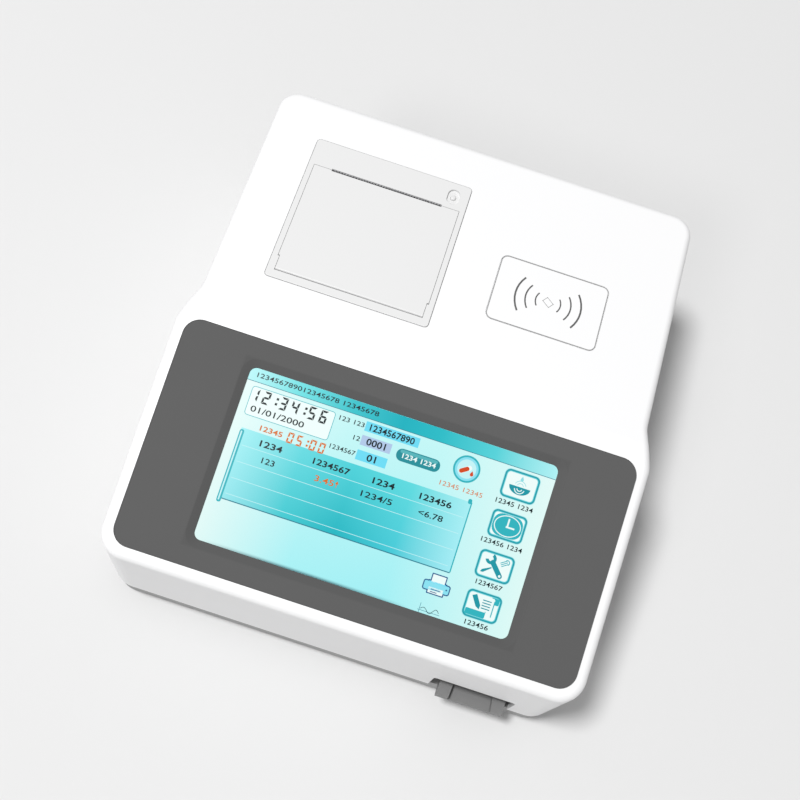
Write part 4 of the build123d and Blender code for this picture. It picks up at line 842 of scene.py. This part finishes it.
def draw_sample_sign(sheet):
    """Round sign with a tilted tube and a drop."""
    x, y = 113.4, 14.9
    sheet.disc(x, y, 6.6, "teal", 2)
    sheet.disc(x, y, 5.7, "sky", 3)
    sheet.disc(x, y, 4.6, "rule", 4)
    tube = rounded(x - 1.2, y - 2.6, x + 1.2, y + 4.0, 1.1)
    sheet.plate(turned(tube, x, y, 57), "mist", 5)
    filling = rounded(x - 1.05, y - 1.3, x + 1.05, y + 3.8, 1.0)
    sheet.plate(turned(filling, x, y, 57), "red", 6)
    sheet.plate(drop_shape(x + 3.0, y + 0.1, 0.85), "red", 5)
    sheet.numerals(figures(5, 5), 103.0, 24.8, 21.4, 2.3, "orange", 2)


def draw_table(sheet):
    """Teal panel with rules, headings, one row of values and a scroll bar at its left."""
    left, top, right, bottom = TABLE
    sheet.box(left, top, right, bottom, "table", 2)
    sheet.box(left + 1.0, bottom, right, bottom + 0.5, "line", 2, 0.2)
    sheet.box(right - 0.3, top, right + 0.3, bottom, "teal", 3)
    for y in (37.4, 45.4, 53.5, 61.4):
        sheet.box(7.8, y - 0.13, right - 1.8, y + 0.13, "rule", 3)
    sheet.box(4.6, 30.2, 6.8, 66.3, "teal", 4, 1.0)
    sheet.box(5.2, 31.0, 5.9, 65.4, "rule", 5, 0.3)
    sheet.box(118.7, 27.9, 120.6, 30.4, "teal", 4, 0.9)
    for left, letters, width in ((15.7, 4, 11.2), (42.4, 7, 18.4), (72.3, 4, 11.0), (95.9, 6, 16.0)):
        sheet.numerals(figures(letters), left, 33.9, width, 3.1, "night", 3, BOLD)
    for text, left, width, ink in (("123", 19.1, 6.4, "night"), ("3.45", 45.6, 9.6, "orange"),
                                   ("1234/5", 68.8, 15.6, "night"), ("<6.78", 97.6, 12.2, "night")):
        sheet.numerals(text, left, 41.4, width, 2.9, ink, 4, PLAIN)
    sheet.stroke([(56.6, 42.8), (56.6, 40.2)], 0.35, "orange", 3)
    sheet.plate([(55.7, 41.2), (56.6, 39.7), (57.5, 41.2)][::-1], "orange", 4)


def draw_print_sign(sheet):
    """Printer: sheet above, body, sheet with two lines below."""
    for left, top, right, bottom, corner, fill in (
        (113.0, 66.5, 120.6, 71.4, 0.3, "mist"), (110.0, 70.2, 123.4, 75.2, 1.2, "sky"),
        (112.0, 69.9, 121.4, 71.7, 0.3, "cyan"), (112.6, 72.6, 121.0, 76.5, 0.3, "mist"),
    ):
        sheet.box(left, top, right, bottom, "blue", 2, corner)
        sheet.box(left + 0.55, top + 0.55, right - 0.55, bottom - 0.55, fill, 3, corner * 0.6)
    sheet.disc(121.6, 72.6, 0.4, "blue", 4)
    for y, right in ((74.1, 119.2), (75.3, 117.6)):
        sheet.box(114.3, y - 0.2, right, y + 0.2, "blue", 4)


def draw_curve_sign(sheet):
    """Small graph: two axes and a wave."""
    sheet.stroke([(112.0, 81.6), (112.0, 85.9)], 0.22, "line", 2)
    sheet.stroke([(111.2, 84.9), (122.0, 84.9)], 0.22, "line", 2)
    wave = [(112.3 + i * 0.6, 84.2 - 1.3 * math.sin(i * 0.62) * (0.6 + 0.04 * i)) for i in range(16)]
    sheet.stroke(wave, 0.26, "slate", 3)


def tile(sheet, box):
    """Round-cornered button with a teal edge that is lighter inside and outside. Gives its middle."""
    left, top, right, bottom = box
    layers = ((0.0, "edge", 2.8), (0.3, "rim", 2.5), (0.8, "teal", 2.1), (1.15, "edge", 1.8),
              (1.45, "mist", 1.5))
    for level, (inset, ink, corner) in enumerate(layers, 2):
        sheet.box(left + inset, top + inset, right - inset, bottom - inset, ink, level, corner)
    return (left + right) / 2, (top + bottom) / 2


def draw_tools(sheet, x, y):
    """Spanner from upper left to lower right, crossed by a screwdriver with a ribbed grip."""
    shank = turned(rounded(x - 1.25, y - 3.4, x + 1.25, y + 6.3, 1.2), x, y, -42)
    sheet.plate(shank, "rim", 8)
    head = turned([(x, y - 4.1)], x, y, -42)[0]
    sheet.arc(*head, 1.9, 1.5, -165, 70, "rim", 9)
    sheet.disc(*turned([(x, y + 5.0)], x, y, -42)[0], 0.6, "mist", 9)
    blade = [(x - 0.25, y + 1.6), (x + 0.25, y + 1.6), (x + 0.75, y + 6.2), (x, y + 7.4), (x - 0.75, y + 6.2)]
    sheet.plate(turned(blade[::-1], x, y, 56), "rim", 7)
    for side in (-0.85, 0.0, 0.85):
        sheet.stroke(turned([(x + side, y - 6.4), (x + side, y - 3.2)], x, y, 56), 0.4, "teal", 7)
    sheet.arc(*turned([(x, y - 6.2)], x, y, 56)[0], 1.15, 0.4, -60, 130, "teal", 7)


def draw_tiles(sheet):
    """The four buttons: sample dish, timer, tools, notes."""
    x, y = tile(sheet, TILES[0])
    turns = [math.pi * i / 16 for i in range(17)]
    bowl = [(x + 5.3 * math.cos(t), y + 0.3 + 3.9 * math.sin(t)) for t in turns]
    sheet.plate(bowl, "rim", 7)
    for radius in (1.2, 2.4):
        sheet.arc(x, y + 1.1, radius, 0.45, 190, 350, "mist", 8)
        sheet.arc(x, y + 0.2, radius + 0.4, 0.3, 20, 160, "edge", 7)
    sheet.plate(drop_shape(x, y - 5.0, 0.8), "edge", 8)

    x, y = tile(sheet, TILES[1])
    sheet.box(x - 7.3, y - 5.4, x + 7.3, y + 5.4, "teal", 7, 4.2)
    sheet.plate(ellipse(x, y, 6.6, 5.1), "mist", 8)
    sheet.plate(ellipse(x, y, 6.15, 4.65), "teal", 9)
    sheet.stroke([(x, y - 3.3), (x, y + 0.4)], 0.8, "mist", 10)
    sheet.stroke([(x - 0.3, y + 0.4), (x + 3.2, y + 0.4)], 0.8, "mist", 10)

    x, y = tile(sheet, TILES[2])
    draw_tools(sheet, x, y)

    x, y = tile(sheet, TILES[3])
    sheet.box(x - 7.3, y + 2.5, x + 2.4, y + 5.4, "teal", 7, 0.6)
    sheet.box(x + 3.4, y - 5.4, x + 7.3, y - 2.2, "teal", 7, 0.6)
    sheet.box(x - 5.2, y - 5.0, x + 5.2, y + 2.3, "mist", 8, 0.9)
    sheet.box(x + 2.2, y - 2.8, x + 5.2, y + 5.0, "mist", 8, 1.2)
    sheet.stroke([(x + 5.2, y - 3.6), (x + 5.2, y + 3.6)], 0.5, "teal", 9)
    sheet.stroke([(x + 2.2, y + 2.2), (x + 2.2, y + 4.6)], 0.4, "teal", 9)
    for i in range(4):
        sheet.box(x - 0.4, y - 3.3 + i * 1.3, x + 3.8, y - 2.8 + i * 1.3, "rim", 9)
    pen = [(x - 6.0, y - 3.7), (x - 3.9, y - 4.8), (x - 1.0, y - 0.2), (x - 1.1, y + 1.9), (x - 3.0, y + 0.9)]
    sheet.plate(pen[::-1], "rim", 10)

    labels = ((figures(5, 4), 18.6), (figures(6, 4), 20.4), (figures(7), 13.2), (figures(6), 11.6))
    for (left, top, right, bottom), (text, span) in zip(TILES, labels):
        sheet.numerals(text, (left + right - span) / 2, bottom + 2.2, span, 2.4, "night", 2, PLAIN)


class READER_OT_screen(bpy.types.Operator):
    """Draw the lit page on the touch screen"""

    bl_idname = "reader.screen"
    bl_label = "Screen"

    def execute(self, context):
        corner, turn = screen_place()
        place = Matrix.Translation(corner) @ Matrix.Rotation(turn[0], 4, "X")
        sheet = Sheet("screen_page", place, screen_inks())
        for draw in (draw_page, draw_clock, draw_fields, draw_sample_sign, draw_table, draw_print_sign,
                     draw_curve_sign, draw_tiles):
            draw(sheet)
        sheet.finish("housing", "screen_glass")
        return {"FINISHED"}


# rows of contacts, in mm: node, x, height inside the mouth, inset from the face, count, pitch, width, length
CONTACTS = (
    ("network_socket", 14.0, 30.0, 1.0, 8, 1.02, 0.45, 6.0),
    ("usb_sockets", -26.0, 24.0, 2.0, 4, 2.3, 1.1, 7.0),
    ("usb_sockets", -8.0, 24.0, 2.0, 4, 2.3, 1.1, 7.0),
)
CONTACT_THICKNESS = 0.3


class READER_OT_contacts(bpy.types.Operator):
    """Add the gilt contacts under the roof of the network socket and under the tongues of the USB sockets"""

    bl_idname = "reader.contacts"
    bl_label = "Socket contacts"

    def execute(self, context):
        gilt = brushed_metal("gilt", (0.90, 0.62, 0.26), 0.3)
        joined = bmesh.new()
        for node, x, inside, inset, count, pitch, width, length in CONTACTS:
            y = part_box(node)[1][1] - (inset + length / 2) * MM
            roof, _ = touched(node, (x * MM, y, inside * MM), (0, 0, 1))
            first = Vector((roof.x - (count - 1) / 2 * pitch * MM, y, roof.z - CONTACT_THICKNESS / 2 * MM))
            size = (width * MM, length * MM, CONTACT_THICKNESS * MM)
            row = block_row(gilt, Matrix.Translation(first), Count=count, Pitch=pitch * MM, Size=size)
            joined.from_mesh(row)
            bpy.data.meshes.remove(row)
        mesh = bpy.data.meshes.new("socket_contacts")
        joined.to_mesh(mesh)
        joined.free()
        mesh.materials.append(gilt)
        piece = bpy.data.objects.new("socket_contacts", mesh)
        context.scene.collection.objects.link(piece)
        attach(piece, "housing")
        return {"FINISHED"}


class READER_OT_switch_marks(bpy.types.Operator):
    """Print the stroke and the ring on the two halves of the power rocker"""

    bl_idname = "reader.switch_marks"
    bl_label = "Switch marks"

    def execute(self, context):
        inks = {"white": printed("white_print", "#dcdcdc")}
        low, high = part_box("power_rocker")
        middle = (low + high) / 2
        for name, side in (("stroke", -1), ("ring", 1)):
            start = (middle.x + side * (high.x - low.x) / 4, high.y + 5 * MM, middle.z)
            place, normal = touched("power_rocker", start, (0, -1, 0))
            across = Vector((0, 0, 1)).cross(normal).normalized()
            axes = Matrix((across, normal.cross(across), normal)).transposed()
            sheet = Sheet("switch_" + name, Matrix.Translation(place) @ axes.to_4x4(), inks)
            if name == "ring":
                sheet.ring(0, 0, 1.5, 0.45, "white")
            else:
                sheet.stroke([(0, -1.7), (0, 1.7)], 0.5, "white")
            sheet.finish("rocker", "white_housing")
        return {"FINISHED"}


CARD_CORNER = 3.5           # corner radius of the card pad, in millimetres
WAVE_REACH = 35             # each arc of the waves goes this many degrees up and down from the level


class READER_OT_wave_sign(bpy.types.Operator):
    """Print the wave sign on the card pad"""

    bl_idname = "reader.wave_sign"
    bl_label = "Wave sign"

    def execute(self, context):
        middle, _ = flat_top("card_pad")
        inks = {"grey": printed("grey_print", "#555555"), "light": printed("light_print", "#8a8a8a")}
        sheet = Sheet("wave_sign", Matrix.Translation(middle), inks)
        for radius, width in ((6.5, 0.7), (11.8, 0.8), (17.1, 0.95)):
            for side in (0, 180):
                sheet.arc(0, 0, radius, width, side - WAVE_REACH, side + WAVE_REACH, "grey")
        card = turned(rounded(-2.3, -1.6, 2.3, 1.6, 0.0), 0, 0, 38)
        sheet.stroke([*card, card[0]], 0.28, "light")
        low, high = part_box("card_pad")
        half_x, half_y = (high.x - low.x) / 2 / MM, (high.y - low.y) / 2 / MM
        sheet.border(-half_x, -half_y, half_x, half_y, CARD_CORNER, 0.4, "light")
        sheet.finish("housing", "black_plastic")
        return {"FINISHED"}


# ---------------------------------------------------------------- stage
LIGHT_DISTANCE = 6.0                    # metres
KEY_SIZE, FILL_SIZE = 1.1, 1.5          # diameters of the two lights, in metres
FLOOR_HALF = 40.0                       # metres, far enough for low views
FLOOR_TONE = (0.69, 0.69, 0.69)


def add_floor(scene):
    """Wide pale floor that the reader stands on."""
    mesh = bpy.data.meshes.new("floor")
    signs = ((-1, -1), (1, -1), (1, 1), (-1, 1))
    mesh.from_pydata([(x * FLOOR_HALF, y * FLOOR_HALF, 0) for x, y in signs], [], [(0, 1, 2, 3)])
    floor = bpy.data.objects.new("floor", mesh)
    mesh.materials.append(Shader("floor_paper", FLOOR_TONE, 0.9).material)
    scene.collection.objects.link(floor)


def add_sky(scene, strength):
    """Even white light from all sides."""
    world = bpy.data.worlds.new("studio")
    world.use_nodes = True
    sockets = world.node_tree.nodes["Background"].inputs
    sockets["Color"].default_value = (1, 1, 1, 1)
    sockets["Strength"].default_value = strength
    scene.world = world


def area_light(name, direction, aim, size, power):
    """Soft round light that hangs in one direction from the object and points at it."""
    light = bpy.data.lights.new(name, "AREA")
    light.shape = "DISK"
    light.size = size
    light.energy = power
    lamp = bpy.data.objects.new(name, light)
    away = Vector(direction).normalized()
    lamp.location = aim + away * LIGHT_DISTANCE
    lamp.rotation_euler = away.to_track_quat("Z", "Y").to_euler()
    bpy.context.scene.collection.objects.link(lamp)


def add_camera(scene, values):
    """Camera that looks down at a tilt from the front, with its picture turned about the view."""
    lens = bpy.data.cameras.new("camera")
    lens.lens = values.lens
    camera = bpy.data.objects.new("camera", lens)
    right = Vector((1, 0, 0))
    up = Vector((0, math.cos(values.tilt), math.sin(values.tilt)))
    turned_right = right * math.cos(values.roll) + up * math.sin(values.roll)
    turned_up = up * math.cos(values.roll) - right * math.sin(values.roll)
    axes = Matrix((turned_right, turned_up, right.cross(up))).transposed()
    camera.matrix_world = Matrix.Translation(values.eye) @ axes.to_4x4()
    scene.collection.objects.link(camera)
    scene.camera = camera


class READER_OT_stage(bpy.types.Operator):
    """Set the floor, the soft light and the camera"""

    bl_idname = "reader.stage"
    bl_label = "Stage"

    def execute(self, context):
        values = context.scene.reader_stage
        scene = context.scene
        scene.view_settings.view_transform = "Standard"
        add_floor(scene)
        add_sky(scene, values.sky)
        middle = (cad_low + cad_high) / 2
        area_light("key", values.key_from, middle, KEY_SIZE, values.key)
        area_light("fill", values.fill_from, middle, FILL_SIZE, values.fill)
        add_camera(scene, values)
        return {"FINISHED"}


class READER_PT_panel(bpy.types.Panel):
    """Lists the steps that dress the reader"""

    bl_idname = "READER_PT_panel"
    bl_label = "Test reader"
    bl_space_type = "VIEW_3D"
    bl_region_type = "UI"
    bl_category = "Test reader"

    def draw(self, context):
        for operator in operators:
            self.layout.operator(operator.bl_idname)
        for group in groups:
            values = getattr(context.scene, group)
            box = self.layout.box()
            for key in values.__annotations__:
                box.prop(values, key)


operators = [
    READER_OT_finishes, READER_OT_screen, READER_OT_wave_sign, READER_OT_contacts, READER_OT_switch_marks,
    READER_OT_stage,
]
groups = {"reader_finishes": FinishSettings, "reader_stage": StageSettings}
classes = [*groups.values(), *operators, READER_PT_panel]


def register():
    for one in classes:
        bpy.utils.register_class(one)
    for key, group in groups.items():
        setattr(bpy.types.Scene, key, PointerProperty(type=group))


def unregister():
    for key in groups:
        delattr(bpy.types.Scene, key)
    for one in reversed(classes):
        bpy.utils.unregister_class(one)


def main():
    register()
    for operator in operators:
        group, name = operator.bl_idname.split(".")
        getattr(getattr(bpy.ops, group), name)()


if __name__ == "__main__":
    main()
